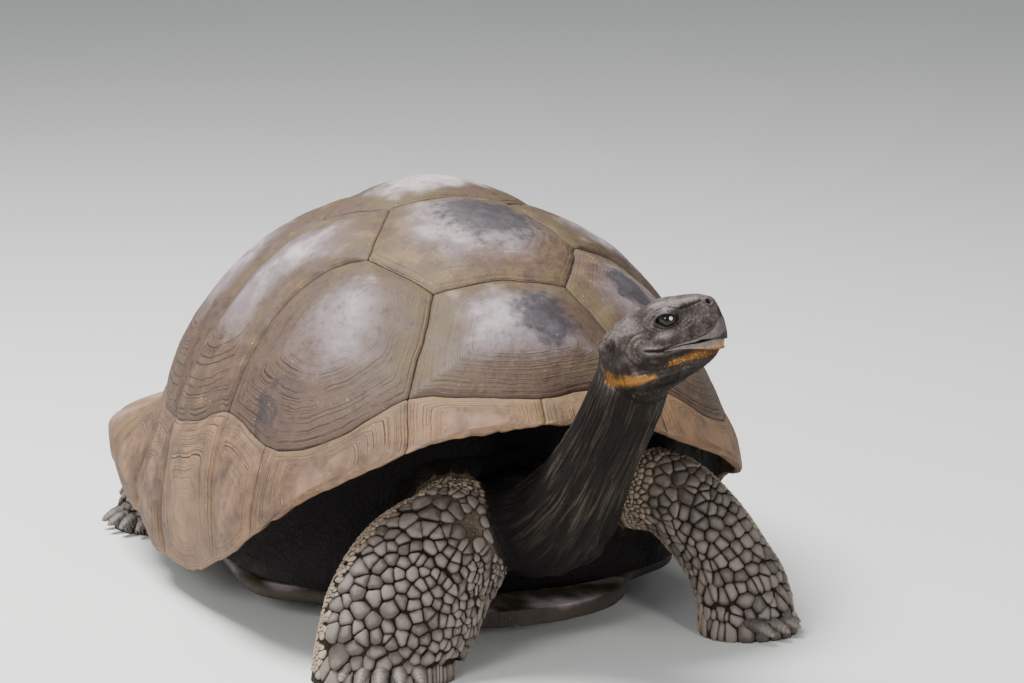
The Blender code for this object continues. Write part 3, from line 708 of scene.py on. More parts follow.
@dataclass(frozen=True)
class Dome:
    """The carapace as a distance from a heart point inside it, in every direction."""

    heart: Triple
    front: float = 0.645
    rear: float = 0.555
    half_width: float = 0.436
    rise: float = 0.442
    drop: float = 0.59
    plan_power: float = 2.11
    rise_power: float = 1.83
    rim: Knots = ((0, 19), (14, 18), (22, 14.8), (35, 9), (47, 0.5), (62, -8.5), (76, -14.2), (90, -14.5),
                  (106, -9.5), (121, -3.5), (136, -1), (152, -1), (166, -3), (180, -6))
    rim_lift: Triple = (66, 24, 10)
    band: Knots = ((0, 23), (20.5, 23.5), (33, 17), (45.5, 15), (62, 20), (76, 16), (90, 14), (106, 13.5),
                   (121, 15), (136, 12), (152, 13.5), (168, 13), (180, 13.5))
    flare: Knots = ((0, 0), (20, 0.01), (45, 0.025), (70, -0.012), (94, 0.04), (108, 0.08), (121, 0.16),
                    (136, 0.24), (152, 0.2), (180, 0.09))
    flare_reach: Knots = ((0, 21), (90, 21), (121, 15), (136, 8), (152, 8), (180, 12))
    seams: tuple[float, ...] = (0, 20.5, 47, 62, 90, 106, 121, 136, 152, 168, 192)
    front_scallop: float = 0.6
    rear_scallop: float = 2.2

    def smooth_radius(self, d: Array) -> Array:
        """Distance to the plain dome along unit directions."""
        length = np.where(d[..., 0] > 0, self.front, self.rear)
        rise = np.where(d[..., 2] > 0, self.rise, self.drop)
        power = self.plan_power
        plan = np.abs(d[..., 0] / length) ** power + np.abs(d[..., 1] / self.half_width) ** power
        return (plan ** (self.rise_power / power) + np.abs(d[..., 2] / rise) ** self.rise_power) ** (
            -1 / self.rise_power)

    def rim_at(self, azimuth: Any) -> Array:
        """The rise of the plain rim, a little higher above the left foreleg."""
        middle, half, lift = self.rim_lift
        return around(self.rim, azimuth) + lift * hump(azimuth, middle, half)

    def radius(self, d: Array) -> Array:
        """Distance to the dome with its rim flared outwards."""
        azimuth, rise = heading(d)
        reach = around(self.flare_reach, azimuth)
        depth = np.clip((self.rim_at(azimuth) + reach - rise) * 1.25 / reach, 0, 1)
        return self.smooth_radius(d) * (1 + around(self.flare, azimuth) * depth**2 * (3 - 2 * depth))

    def rim_rise(self, azimuth: Array) -> Array:
        """The rim's rise in degrees, bulging down between the seams and chipped along its edge."""
        azimuth = np.asarray(azimuth, float)
        side = np.abs((azimuth + 180) % 360 - 180)
        seams = np.array(self.seams)
        k = np.clip(np.searchsorted(seams, side + 1e-9, side="right") - 1, 0, len(seams) - 2)
        bulge = np.sin(np.pi * (side - seams[k]) / (seams[k + 1] - seams[k]))
        deep = np.where(side < 90, self.front_scallop, self.rear_scallop)
        edge = direction(azimuth, 0)
        chips = 0.22 * Grain(0.035, 3, 2).at(edge) + 0.5 * ease(0.35, 0.8, Grain(0.05, 8).at(edge))
        return self.rim_at(azimuth) - deep * bulge + chips

    def band_rise(self, azimuth: Array) -> Array:
        """The rise of the seam above the marginals, in degrees."""
        return around(self.band, azimuth)


@dataclass(frozen=True)
class PlateKind:
    """What the plates of one row share: thickness, swell above the dome and growth rings."""

    thick: float
    swell: float
    rings: int


@dataclass(frozen=True)
class Plate:
    """One scute: its outline as directions, where the outline is free rim, and its areola."""

    name: str
    kind: PlateKind
    loop: Array
    free: Array
    middle: Pair


@dataclass
class Shell:
    """The carapace, plate by plate."""

    dome: Dome
    finish: ShellHorn = ShellHorn()
    vertebral: PlateKind = PlateKind(0.012, 0.013, 15)
    costal: PlateKind = PlateKind(0.012, 0.012, 17)
    marginal: PlateKind = PlateKind(0.014, 0.003, 10)
    marginal_areola: float = 0.3
    seam_gap: float = 0.2 * MM
    groove: float = 1.3 * MM
    groove_width: float = 2.2 * MM
    valley: float = 2.2 * MM
    valley_width: float = 11 * MM
    ring_depth: float = 0.8 * MM
    rim_round: float = 4.5 * MM
    knob: float = 2.6 * MM
    wander: float = 0.006
    steps_round: int = 176
    rim_steps: int = 40
    wall_steps: int = 14
    crown_rows: int = 64
    edge_rows: int = 17
    edge_share: float = 0.9
    outline_power: float = 1.6

    # Azimuth and rise of the plates' corners on the left; None is on the seam above the marginals
    CORNERS = {
        "neck": (20.5, None), "v1_v2": (16.5, 44), "v2_side": (39, 55.5), "v2_v3": (55, 75),
        "v3_side": (103, 66), "v3_v4": (149, 68), "v4_side": (148, 50), "v4_v5": (166, 39),
        "c1_c2": (62, None), "c2_c3": (90, None), "c3_c4": (121, None), "tail": (152, None)}

    # Bends of the seams between two corners
    BENDS = {
        ("v2_side", "c1_c2"): [(52, 52.5), (60.5, 45), (62.5, 31)],
        ("v3_side", "c2_c3"): [(97, 48), (92, 30)],
        ("v4_side", "c3_c4"): [(134, 39), (124, 27)],
        ("neck", "v1_v2"): [(18.5, 34)],
        ("v1_v2", "right_v1_v2"): [(0, 46.5)],
        ("v2_v3", "right_v2_v3"): [(0, 82)],
        ("v3_v4", "right_v3_v4"): [(180, 70)],
        ("v4_v5", "right_v4_v5"): [(180, 40)]}

    # Strength of a dark smudge, where its middle lies, in degrees, and its reach
    SMUDGES = {
        "vertebral_1": (0.95, 6, 37, 0.11), "vertebral_2": (1.2, 8, 68, 0.18),
        "vertebral_4": (0.5, 175, 58, 0.16), "vertebral_5": (0.5, 185, 28, 0.12),
        "costal_left_1": (1.35, 37, 42, 0.1), "costal_right_1": (0.5, -48, 22, 0.15),
        "costal_left_3": (0.7, 110, 44, 0.13), "costal_right_4": (0.5, -146, 34, 0.1)}
    CLEAN = (0.0, 0.0, 0.0, 1.0)

    # Rows that the under face repeats, from the edge inwards
    UNDER_ROWS = (-1, -4, -8, -12, 50, 30, 12, 0)

    # Corners up one side, and areola
    VERTEBRALS = (
        (("neck", "v1_v2"), (0, 36)), (("v1_v2", "v2_side", "v2_v3"), (0, 65)),
        (("v2_v3", "v3_side", "v3_v4"), (180, 84)), (("v3_v4", "v4_side", "v4_v5"), (180, 56)),
        (("v4_v5", "tail"), (180, 27)))
    COSTALS = (
        (("neck", "c1_c2", "v2_side", "v1_v2"), (36, 41)),
        (("c1_c2", "c2_c3", "v3_side", "v2_v3", "v2_side"), (80, 50)),
        (("c2_c3", "c3_c4", "v4_side", "v3_v4", "v3_side"), (113, 46)),
        (("c3_c4", "tail", "v4_v5", "v4_side"), (143, 32)))

    @staticmethod
    def mirrored(name: str) -> tuple[str, int]:
        """The left-hand name of a corner, and the sign of its own side."""
        return name.removeprefix("right_"), -1 if name.startswith("right_") else 1

    def corner(self, name: str) -> Array:
        """The direction of a named corner; right_ names mirror the left ones."""
        bare, sign = self.mirrored(name)
        azimuth, rise = self.CORNERS[bare]
        azimuth = sign * azimuth
        return direction(azimuth, self.dome.band_rise(np.array(azimuth)) if rise is None else rise)

    def bends_met(self, a: str, b: str) -> list[Pair]:
        """The bends listed between two corners, in the order met from a to b."""
        return self.BENDS.get((a, b)) or self.BENDS.get((b, a), [])[::-1]

    def seam(self, a: str, b: str) -> Array:
        """A dense run of directions from corner a towards corner b, without b itself."""
        (bare_a, side_a), (bare_b, side_b) = self.mirrored(a), self.mirrored(b)
        if self.CORNERS[bare_a][1] is None and self.CORNERS[bare_b][1] is None:
            start, end = side_a * self.CORNERS[bare_a][0], side_b * self.CORNERS[bare_b][0]
            if start > 0 > end:
                end += 360
            run = np.linspace(start, end, max(3, int(abs(end - start)) + 1))
            return direction(run, self.dome.band_rise(run))[:-1]
        bends, flip = self.bends_met(a, b), 1
        if not bends and side_a == side_b == -1:
            bends, flip = self.bends_met(bare_a, bare_b), -1
        stops = np.array([self.corner(a), *(direction(flip * x, y) for x, y in bends), self.corner(b)])
        along = travelled(stops)
        return unit(spline(np.column_stack([along, stops]), np.linspace(0, along[-1], 30))[:-1])

    def around_path(self, path: Sequence[str]) -> Array:
        """The closed outline through the corners."""
        return np.concatenate([self.seam(a, b) for a, b in zip(path, [*path[1:], path[0]])])

    def plates(self) -> list[Plate]:
        """Every scute of the carapace: down the middle, down the sides, and round the rim to the tail."""
        made = []
        for k, (left, middle) in enumerate(self.VERTEBRALS, 1):
            loop = self.around_path([*left, *("right_" + n for n in reversed(left))])
            made.append(Plate(f"vertebral_{k}", self.vertebral, loop, np.zeros(len(loop)), middle))
        for k, (path, (azimuth, rise)) in enumerate(self.COSTALS, 1):
            loop = self.around_path(path)
            for side in Side:
                turned = loop[:: side.value] * [1, side.value, 1]
                made.append(Plate(f"costal_{side.word}_{k}", self.costal, turned, np.zeros(len(loop)),
                                  (side.value * azimuth, rise)))
        seams = self.dome.seams
        for k, (start, end) in enumerate(zip(seams[:-2], seams[1:]), 1):
            for side in Side:
                made.append(self.marginal_plate(f"marginal_{side.word}_{k}", side, start, end))
        return [*made, self.marginal_plate("supracaudal", Side.LEFT, *seams[-2:])]

    def marginal_plate(self, name: str, side: Side, start: float, end: float) -> Plate:
        """One scute of the rim, between two azimuths of its side.

        Args:
            name: its name.
            side: the side that it is on; a scute across the middle counts as left.
            start: the azimuth of its front seam.
            end: the azimuth of its rear seam.

        Returns:
            The plate.
        """
        run = np.linspace(start, end, self.rim_steps) * side.value
        low, high = direction(run, self.dome.rim_rise(run)), direction(run, self.dome.band_rise(run))
        wall = np.linspace(0, 1, self.wall_steps)[1:-1, None]
        loop = np.concatenate([low, unit(low[-1] + (high[-1] - low[-1]) * wall), high[::-1],
                               unit(high[0] + (low[0] - high[0]) * wall)])
        free = (np.arange(len(loop)) < self.rim_steps) * 1.0
        middle = (start + end) / 2 * side.value
        bottom, top = (float(f(np.array(middle))) for f in (self.dome.rim_rise, self.dome.band_rise))
        return Plate(name, self.marginal, loop[:: side.value], free[:: side.value],
                     (middle, bottom + self.marginal_areola * (top - bottom)))

    def sheet(self, plate: Plate, seed: int) -> Sheet:
        """Models one plate as a closed body around its areola."""
        loop = plate.loop + self.wander * np.stack(
            [Grain(0.14, 60 + k, 3).at(plate.loop) for k in range(3)], axis=-1) * (1 - plate.free)[:, None]
        loop, free = self.resampled(unit(loop), plate.free)
        middle = direction(*plate.middle)
        offset = loop - middle
        soft = rounded(offset, 4)
        s = np.concatenate([np.linspace(0.02, self.edge_share, self.crown_rows),
                            np.linspace(self.edge_share, 1, self.edge_rows)[1:]])[:, None]
        share = s[..., None] ** self.outline_power
        shape = offset * share + soft * (1 - share)
        span = norms(offset) * self.dome.radius(loop)
        short = 1 - self.seam_gap / span
        d = unit(middle + shape * (s * short)[..., None])
        reach = self.dome.radius(d)
        base = d * reach[..., None]
        edge = (1 - s) * span
        relief = self.relief(plate, s + 0 * edge, base, seed)
        relief = relief - (self.groove * hump(edge, 0, self.groove_width)
                           + self.valley * hump(edge, 0, self.valley_width)) * (1 - free)
        inside = np.clip(1 - edge / self.rim_round, 0, 1)
        turn = self.rim_round * (1 - np.sqrt(1 - inside**2 * 0.98)) * free
        outer = base + d * (plate.kind.swell * (1 - s**2) + relief - turn)[..., None]
        under = d * (reach - plate.kind.thick + turn)[..., None]
        picked = under[list(self.UNDER_ROWS)]
        rows = np.concatenate([outer, picked])
        marks = self.marks(plate, s + 0 * edge, d, edge, free, len(picked), seed)
        heart = np.array(self.dome.heart)
        poles = [middle * (float(self.dome.radius(middle)) + h) + heart for h in
                 (plate.kind.swell + float(relief[0].mean()), -plate.kind.thick)]
        return Sheet.lathe(rows + heart, marks, *poles)

    def resampled(self, loop: Array, free: Array) -> tuple[Array, Array]:
        """The outline with evenly spaced points, and its free share at each."""
        closed = np.concatenate([loop, loop[:1]])
        along = travelled(closed)
        at = np.linspace(0, along[-1], self.steps_round, endpoint=False)
        even = np.stack([np.interp(at, along, closed[:, k]) for k in range(3)], axis=-1)
        return unit(even), np.interp(at, along, np.concatenate([free, free[:1]]))

    def relief(self, plate: Plate, s: Array, base: Array, seed: int) -> Array:
        """Growth rings, the worn knob at the areola, and dents, as height above the smooth plate."""
        drift = Grain(0.16, 11 + seed, 2).at(base)
        phase = plate.kind.rings * s**1.12 + 0.45 * drift
        depths = np.random.default_rng(100 + seed).uniform(0.25, 1.0, plate.kind.rings + 4)
        each = depths[np.clip(np.round(phase).astype(int), 0, len(depths) - 1)]
        valley = (0.5 + 0.5 * np.cos(TURN * phase)) ** 4
        patchy = 0.55 + 0.45 * Grain(0.1, 40 + seed).at(base)
        ringed = ease(0.28, 0.7, s) * np.clip(patchy, 0.1, 1)
        knob = self.knob * hump(s, 0, 0.24) * (plate.kind is not self.marginal)
        dents = 1.5 * MM * Grain(0.075, 5, 2).at(base) + 0.35 * MM * Grain(0.014, 6, 2).at(base)
        return knob + dents - self.ring_depth * ringed * each * valley

    def marks(self, plate: Plate, s: Array, d: Array, edge: Array, free: Array, inner: int,
              seed: int) -> dict[str, Array]:
        """The numbers that the horn's finish reads."""
        strength, azimuth, rise, reach = self.SMUDGES.get(plate.name, self.CLEAN)
        near = hump(norms(d - direction(azimuth, rise)), 0, reach)
        tone = np.random.default_rng(500 + seed).uniform(-0.5, 0.5)
        edging = float(plate.kind is self.marginal)
        marks = {"growth": (s, 0.9), "seam": (hump(edge, 0, self.groove_width) * (1 - free), 0.0),
                 "smudge": (strength * near, 0.0), "rim": (free * hump(edge, 0, 0.012), 0.2),
                 "edging": (np.full_like(s, edging), edging), "tone": (np.full_like(s, tone), tone)}
        return {key: np.concatenate([above, np.full((inner, s.shape[1]), under)])
                for key, (above, under) in marks.items()}

    def build(self) -> list[Thing]:
        """Makes every plate and hands it to the frame."""
        horn = self.finish.material()
        made = []
        for seed, plate in enumerate(self.plates()):
            thing = self.sheet(plate, seed).piece("horn_" + plate.name, horn)
            made.append(settle(thing, [plate.name]))
        return made


# ---- flesh


@dataclass
class Limb:
    """A neck, leg or tail lofted through stations of x, y, z, half-width and half-depth."""

    name: str
    stations: Knots
    facing: Triple
    slide: Array
    mesh: tuple[int, int]
    lie: Pair = (8 * MM, 5 * MM)
    footed: bool = False
    shade: float = 0.18
    elbow: float = 0.0
    shrink: float = 1.5 * MM
    dense: int = 240

    def __post_init__(self) -> None:
        """Works out evenly spaced centres, frames and half-sizes."""
        body = through(self.stations, self.dense)
        tangents = unit(np.gradient(body[:, :3], axis=0))
        sides, side = [], np.cross(tangents[-1], self.facing)
        for tangent in tangents[::-1]:
            side = unit(side - tangent * (side @ tangent))
            sides.append(side)
        rows = np.column_stack([body, np.array(sides[::-1])])
        if self.footed:
            rows = rows[: int(np.argmax(rows[:, 2] < 0)) + 1]
            rows[-1, 2] = 0.0
        along = travelled(rows[:, :3])
        self.length = float(along[-1])
        even = np.linspace(0, self.length, self.dense)
        rows = np.stack([np.interp(even, along, rows[:, k]) for k in range(8)], axis=-1)
        self.centres, self.widths, self.depths = rows[:, :3] + self.slide, rows[:, 3], rows[:, 4]
        self.sides = unit(rows[:, 5:])
        self.fronts = unit(np.cross(self.sides, np.gradient(self.centres, axis=0)))

    def at(self, t: Array, angle: Array, lift: Any = 0.0) -> Array:
        """Points on the limb.

        Args:
            t: how far down the limb, from 0 to 1.
            angle: how far round it, in radians.
            lift: height above the hide.

        Returns:
            The points.
        """
        t, angle, lift = np.broadcast_arrays(t, angle, lift)
        x = np.clip(t, 0, 1) * (self.dense - 1)
        i = np.minimum(x.astype(int), self.dense - 2)
        f = x - i
        centre, side, front = (
            a[i] + (a[i + 1] - a[i]) * f[..., None] for a in (self.centres, self.sides, self.fronts))
        wide, deep = (a[i] + (a[i + 1] - a[i]) * f - self.shrink + lift for a in (self.widths, self.depths))
        points = centre + side * (wide * np.cos(angle))[..., None] + front * (deep * np.sin(angle))[..., None]
        if self.footed:
            level = ease(0.8, 0.97, t)
            points[..., 2] = np.maximum(points[..., 2] + (centre[..., 2] - points[..., 2]) * level, 0)
        return points

    def rolled(self, t: Array, angle: Array, around_size: float, along_size: float) -> Array:
        """Places on the limb rolled out flat, in units of the two sizes, joined round the back."""
        girth = float(np.mean(self.widths)) / around_size
        return np.stack([girth * np.cos(angle), girth * np.sin(angle), t * self.length / along_size], axis=-1)

    def relief(self, t: Array, angle: Array) -> Array:
        """Creases round and down the limb, as height above the hide."""
        return 1.4 * MM * ridges(self.rolled(t, angle, 22 * MM, 14 * MM), 65, 2, 2.2) - 1.5 * MM

    def sheet(self) -> Sheet:
        """The limb as a closed body that carries its relief."""
        rows, count = self.mesh
        t = np.linspace(0, 1, rows)[:, None] + np.zeros((1, count))
        angle = np.zeros((rows, 1)) + (np.arange(count) * TURN / count)[None, :]
        lift = self.relief(t, angle)
        if self.footed:
            lift = lift * ease(0.99, 0.9, t)
        main = self.at(t, angle, lift)
        start, end = main[0].mean(axis=0), main[-1].mean(axis=0)
        axis = unit(self.centres[1] - self.centres[0]) * 0.5 * float(self.depths[0])
        domed = [start + (main[0] - start) * math.cos(a) - axis * math.sin(a) for a in (1.2, 0.8, 0.4)]
        tip = unit(self.centres[-1] - self.centres[-2]) * (0 if self.footed else 0.5 * float(self.depths[-1]))
        closed = [end + (main[-1] - end) * math.cos(a) + tip * math.sin(a) for a in (0.4, 0.8, 1.2)]
        crook = ease(0.1, 0.19, t) * ease(0.52, 0.34, t) * ease(-0.6, 0.2, np.sin(angle))
        # inner: painted shade near the body, gone by the limb's shade share of its length
        numbers = lying(self.rolled(t, angle, *self.lie), lift / (2 * MM),
                        ease(self.shade, 0.5 * self.shade, t), self.elbow * crook)
        padded = {key: np.pad(grid, ((3, 3), (0, 0)), "edge") for key, grid in numbers.items()}
        return Sheet.lathe(np.concatenate([domed, main, closed]), padded, start - axis, end + tip)


@dataclass
class Neck(Limb):
    """The neck, wrinkled along its length."""

    fine: Pair = (6.5 * MM, 110 * MM)
    cross: Pair = (18 * MM, 7 * MM)
    heavy: Pair = (24 * MM, 170 * MM)
    sway: Pair = (40 * MM, 60 * MM)

    def relief(self, t: Array, angle: Array) -> Array:
        """Fine wrinkles down the neck, with heavy folds where it comes out of the body."""
        sway = 0.3 * Grain(0.8, 61).at(self.rolled(t, angle, *self.sway))[..., None]
        fine = ridges(self.rolled(t, angle, *self.fine) + sway, 62, 2)
        cross = ridges(self.rolled(t, angle, *self.cross), 63, steep=2.2)
        heavy = ridges(self.rolled(t, angle, *self.heavy) + sway, 64, steep=2.6, floor=-0.5)
        base = ease(0.7, 0.35, t)
        return 1.35 * MM * fine + 0.35 * MM * cross - 0.9 * MM + (0.8 + 3.4 * base) * MM * (heavy - 0.5)


@dataclass
class Skull:
    """The head along its own axes: u forward, v left, w up, with lids, nostrils, lips and jaw."""

    slide: Array
    at: Triple = (0.672, 0.078, 0.504)
    yaw: float = 62.0
    pitch: float = 14.5
    sections: Knots = (
        (-0.037, 0.02, 0.004, -0.029), (-0.03, 0.031, 0.015, -0.044), (-0.014, 0.042, 0.026, -0.063),
        (0.003, 0.049, 0.036, -0.078), (0.027, 0.052, 0.045, -0.083), (0.055, 0.049, 0.0522, -0.073),
        (0.079, 0.043, 0.0532, -0.061), (0.103, 0.035, 0.0517, -0.052), (0.125, 0.027, 0.046, -0.042),
        (0.137, 0.019, 0.036, -0.03), (0.142, 0.009, 0.018, -0.013))
    squareness: float = 0.85
    shrink: float = 0.8 * MM
    mouth: Knots = ((-0.05, -0.004), (0.034, -0.006), (0.06, -0.0105), (0.085, -0.0095), (0.11, -0.012),
                    (0.13, -0.0135), (0.15, -0.0135))
    mouth_corner: float = 0.034
    upper_horn: Knots = ((0.05, 0.0), (0.085, 0.0032), (0.112, 0.006), (0.13, 0.013), (0.15, 0.033))
    lower_horn: Knots = ((0.05, 0.0), (0.08, 0.0055), (0.105, 0.009), (0.125, 0.014), (0.15, 0.02))
    horn_sink: float = 1.2 * MM
    neck_lie: Triple = (4.5 * MM, 4.5 * MM, 60 * MM)
    nape_grain: Triple = (6.5 * MM, 6.5 * MM, 60 * MM)
    eye: Triple = (0.0735, 0.031, 0.0285)
    eye_radius: float = 14.2 * MM
    lid_thick: float = 1.2 * MM
    eye_length: float = 16.0 * MM
    eye_top: float = 8.8 * MM
    eye_bottom: float = 8.8 * MM
    eye_tilt: float = -5.0
    lid_power: float = 1.65
    lid_reach: Pair = (3.3, 2.4)
    nostril: Triple = (0.131, 0.012, 0.037)
    chin_step: float = 5.0 * MM
    cast_from: float = 0.07
    cast_reach: float = 0.15
    rows: int = 180
    upper_count: int = 136
    lower_count: int = 72

    def __post_init__(self) -> None:
        """Works out the head's own axes."""
        yaw, pitch = math.radians(self.yaw), math.radians(self.pitch)
        level = math.cos(pitch)
        forward = np.array([level * math.cos(yaw), level * math.sin(yaw), math.sin(pitch)])
        left = np.array([-math.sin(yaw), math.cos(yaw), 0.0])
        self.axes = np.stack([forward, left, np.cross(forward, left)])
        self.origin = np.array(self.at) + self.slide

    def world(self, local: Array) -> Array:
        """Points of the head's own frame, in the model's frame."""
        return self.origin + local @ self.axes

    def local(self, points: Array) -> Array:
        """Points of the model's frame, in the head's own frame."""
        return (points - self.origin) @ self.axes.T

    def lip(self, u: Array) -> Array:
        """The height of the mouth line."""
        return spline(self.mouth, u)[..., 0]

    def chin_back(self, u: Array) -> Array:
        """How far the lower jaw stands back from the smooth head near the tip."""
        return self.chin_step * ease(0.105, 0.138, u)

    def grid(self) -> Array:
        """The smooth head as (row, step round, uvw); the mouth runs along two of the columns."""
        fine = through(self.sections, 900)
        travel = norms(np.diff(fine[:, :3], axis=0))
        crowd = 1 + 1.4 * hump(fine[1:, 0], self.eye[0], 0.02) + 0.7 * ease(0.11, 0.13, fine[1:, 0])
        along = np.concatenate([[0], np.cumsum(travel * crowd)])
        even = np.linspace(0, along[-1], self.rows)
        u, half, top, bottom = (np.interp(even, along, fine[:, k]) for k in range(4))
        half, top, bottom = half - self.shrink, top - self.shrink, bottom + self.shrink
        middle, tall = (top + bottom) / 2, (top - bottom) / 2
        level = np.clip((self.lip(u) - middle) / tall, -0.8, 0.8)
        start = np.arcsin(np.sign(level) * np.abs(level) ** (1 / self.squareness))
        f = np.arange(self.upper_count) / self.upper_count
        upper = f - 0.05 * np.sin(TURN * f) / math.pi - 0.06 * np.sin(2 * TURN * f) / TURN
        f = np.arange(self.lower_count) / self.lower_count
        lower = f - 0.5 * np.sin(TURN * f) / TURN
        start = start[:, None]
        over, under = math.pi - 2 * start, math.pi + 2 * start
        angle = np.concatenate([start + over * upper, math.pi - start + under * lower], axis=1)
        c, s = np.cos(angle), np.sin(angle)
        v = half[:, None] * np.sign(c) * np.abs(c) ** self.squareness
        w = middle[:, None] + tall[:, None] * np.sign(s) * np.abs(s) ** self.squareness
        return np.stack([u[:, None] + 0 * v, v, w], axis=-1)

    @staticmethod
    def outward(grid: Array) -> Array:
        """Unit normals of the grid, pointing out."""
        across = np.roll(grid, -2, axis=1) - np.roll(grid, 2, axis=1)
        return unit(np.cross(across, np.gradient(grid, axis=0)))

    def in_horn(self, local: Array) -> Array:
        """How far points lie under the horny edges of the jaws, from 0 to 1."""
        u, horn = local[..., 0], 0
        for jaw, knots in zip(Jaw, (self.upper_horn, self.lower_horn)):
            over = jaw.value * (local[..., 2] - self.lip(u))
            past = over - spline(knots, u)[..., 0]
            band = np.minimum(ease(-0.5 * MM, 0.5 * MM, over), ease(1.0 * MM, -0.5 * MM, past))
            horn = np.maximum(horn, band)
        return horn * ease(0.05, 0.062, u)

    def swell(self, grid: Array) -> Array:
        """Height of brow, cheek, ear, lips and folds above the smooth head."""
        u, side, w = grid[..., 0], np.abs(grid[..., 1]), grid[..., 2]
        lip = w - self.lip(u)
        mouth = ease(self.mouth_corner - 0.006, self.mouth_corner + 0.01, u)
        flank = ease(0.016, 0.032, side)
        forms = (
            (4.2, 0.064, 0.024, 0.048, 0.007, ease(0.01, 0.026, side)),  # brow
            (-2.2, 0.036, 0.012, 0.045, 0.013, 1.0),  # dip behind the brows
            (2.4, 0.108, 0.022, 0.0445, 0.0038, ease(0.008, 0.016, side)),  # ridge from brow to nostril
            (-2.6, 0.103, 0.017, 0.033, 0.007, ease(0.01, 0.022, side)),  # hollow below it
            (4.0, 0.018, 0.024, 0.012, 0.02, flank),  # jaw muscle
            (-4.2, -0.016, 0.012, 0.001, 0.012, flank),  # ear
            (2.2, -0.03, 0.01, 0.008, 0.016, flank),  # rim behind the ear
            (-2.4, 0.044, 0.01, 0.008, 0.009, flank),  # behind and below the eye
            (2.4, 0.07, 0.022, 0.006, 0.007, flank),  # cheek
            (-2.2, 0.03, 0.02, -0.026, 0.007, flank),  # below the jaw muscle
            (2.2, 0.02, 0.03, -0.045, 0.01, ease(0.01, 0.03, side)))  # edge of the lower jaw
        lift = sum(high * MM * hump(u, at, long) * hump(w, up, tall) * share
                   for high, at, long, up, tall, share in forms)
        lift = lift + 1.2 * MM * hump(lip, 3.4 * MM, 2.6 * MM) * mouth
        lift = lift + 1.9 * MM * hump(lip, -5.2 * MM, 2.8 * MM) * mouth
        lift = lift - 1.8 * MM * hump(lip, -11.5 * MM, 3.2 * MM) * mouth * ease(0.125, 0.105, u)
        lift = lift - self.chin_back(u) * ease(0.0, -5 * MM, lip)
        for k, drop in enumerate((15.0, 19.5, 24.5, 30.0, 36.0)):
            bend = lip + drop * MM + 6 * MM * hump(u, 0.025, 0.03) + 2.2 * MM * Grain(0.03, 70 + k).at(grid)
            lift = lift - 1.5 * MM * hump(bend, 0, 1.2 * MM) * hump(u, 0.045, 0.045)
        crease = np.hypot(u - self.mouth_corner - 0.004, 1.15 * lip)
        for k, ring in enumerate((8.0, 13.5, 20.0, 28.0)):
            wave = crease - ring * MM + 2.0 * MM * Grain(0.022, 80 + k).at(grid)
            lift = lift - 1.7 * MM * hump(wave, 0, 1.2 * MM) * ease(0.04, 0.022, u) * flank
        line = (w - 0.0375) - 0.1 * (u - 0.085) - 1.2 * MM * Grain(0.012, 90).at(grid)
        return lift - (1.8 * MM * hump(line, 0, 1.1 * MM) * ease(0.086, 0.094, u) * ease(0.126, 0.118, u)
                       * ease(0.008, 0.014, side))

    def shaped(self) -> tuple[Array, Array]:
        """The modelled head.

        Returns:
            The points in the head's frame, and the relief at each.
        """
        grid = self.grid()
        out = self.outward(grid)
        u = grid[..., 0]
        lip = grid[..., 2] - self.lip(u)
        horn = self.in_horn(grid)
        lift = self.swell(grid) * (1 - 0.6 * horn)
        rough = 0.7 * MM * Grain(0.016, 21, 2).at(grid) + 0.22 * MM * Grain(0.005, 22).at(grid)
        rough *= 1 - 0.6 * ease(0.075, 0.1, u)
        nape = np.maximum(ease(0.03, -0.02, u), ease(-0.04, -0.062, grid[..., 2]))
        lift += 1.3 * MM * nape * (ridges(self.world(grid) / self.nape_grain, 23, 2) - 0.4)
        lift += rough * (1 - horn) - self.horn_sink * horn
        slot = ease(self.mouth_corner - 0.002, self.mouth_corner + 0.008, u)
        lift -= 5.5 * MM * hump(lip, 0, 1.2 * MM) * slot
        points = grid + out * lift[..., None]
        for side in Side:
            off = points - np.array(self.nostril) * [1, side.value, 1]
            near = norms(off * [1.0, 1.1, 1.0])
            pit = 6.5 * MM * np.exp(-(near / (3.3 * MM)) ** 4) - 1.0 * MM * hump(near, 5.6 * MM, 1.6 * MM)
            points = points - out * pit[..., None]
            lift = lift - 0.5 * pit
            points, lids = self.lids(points, side.value)
            lift = lift + lids
        # the carried relief is lowered along the mouth slit, which the hide turns into painted shade there
        return points, lift / (2 * MM) - hump(lip, 0, 1.5 * MM) * slot

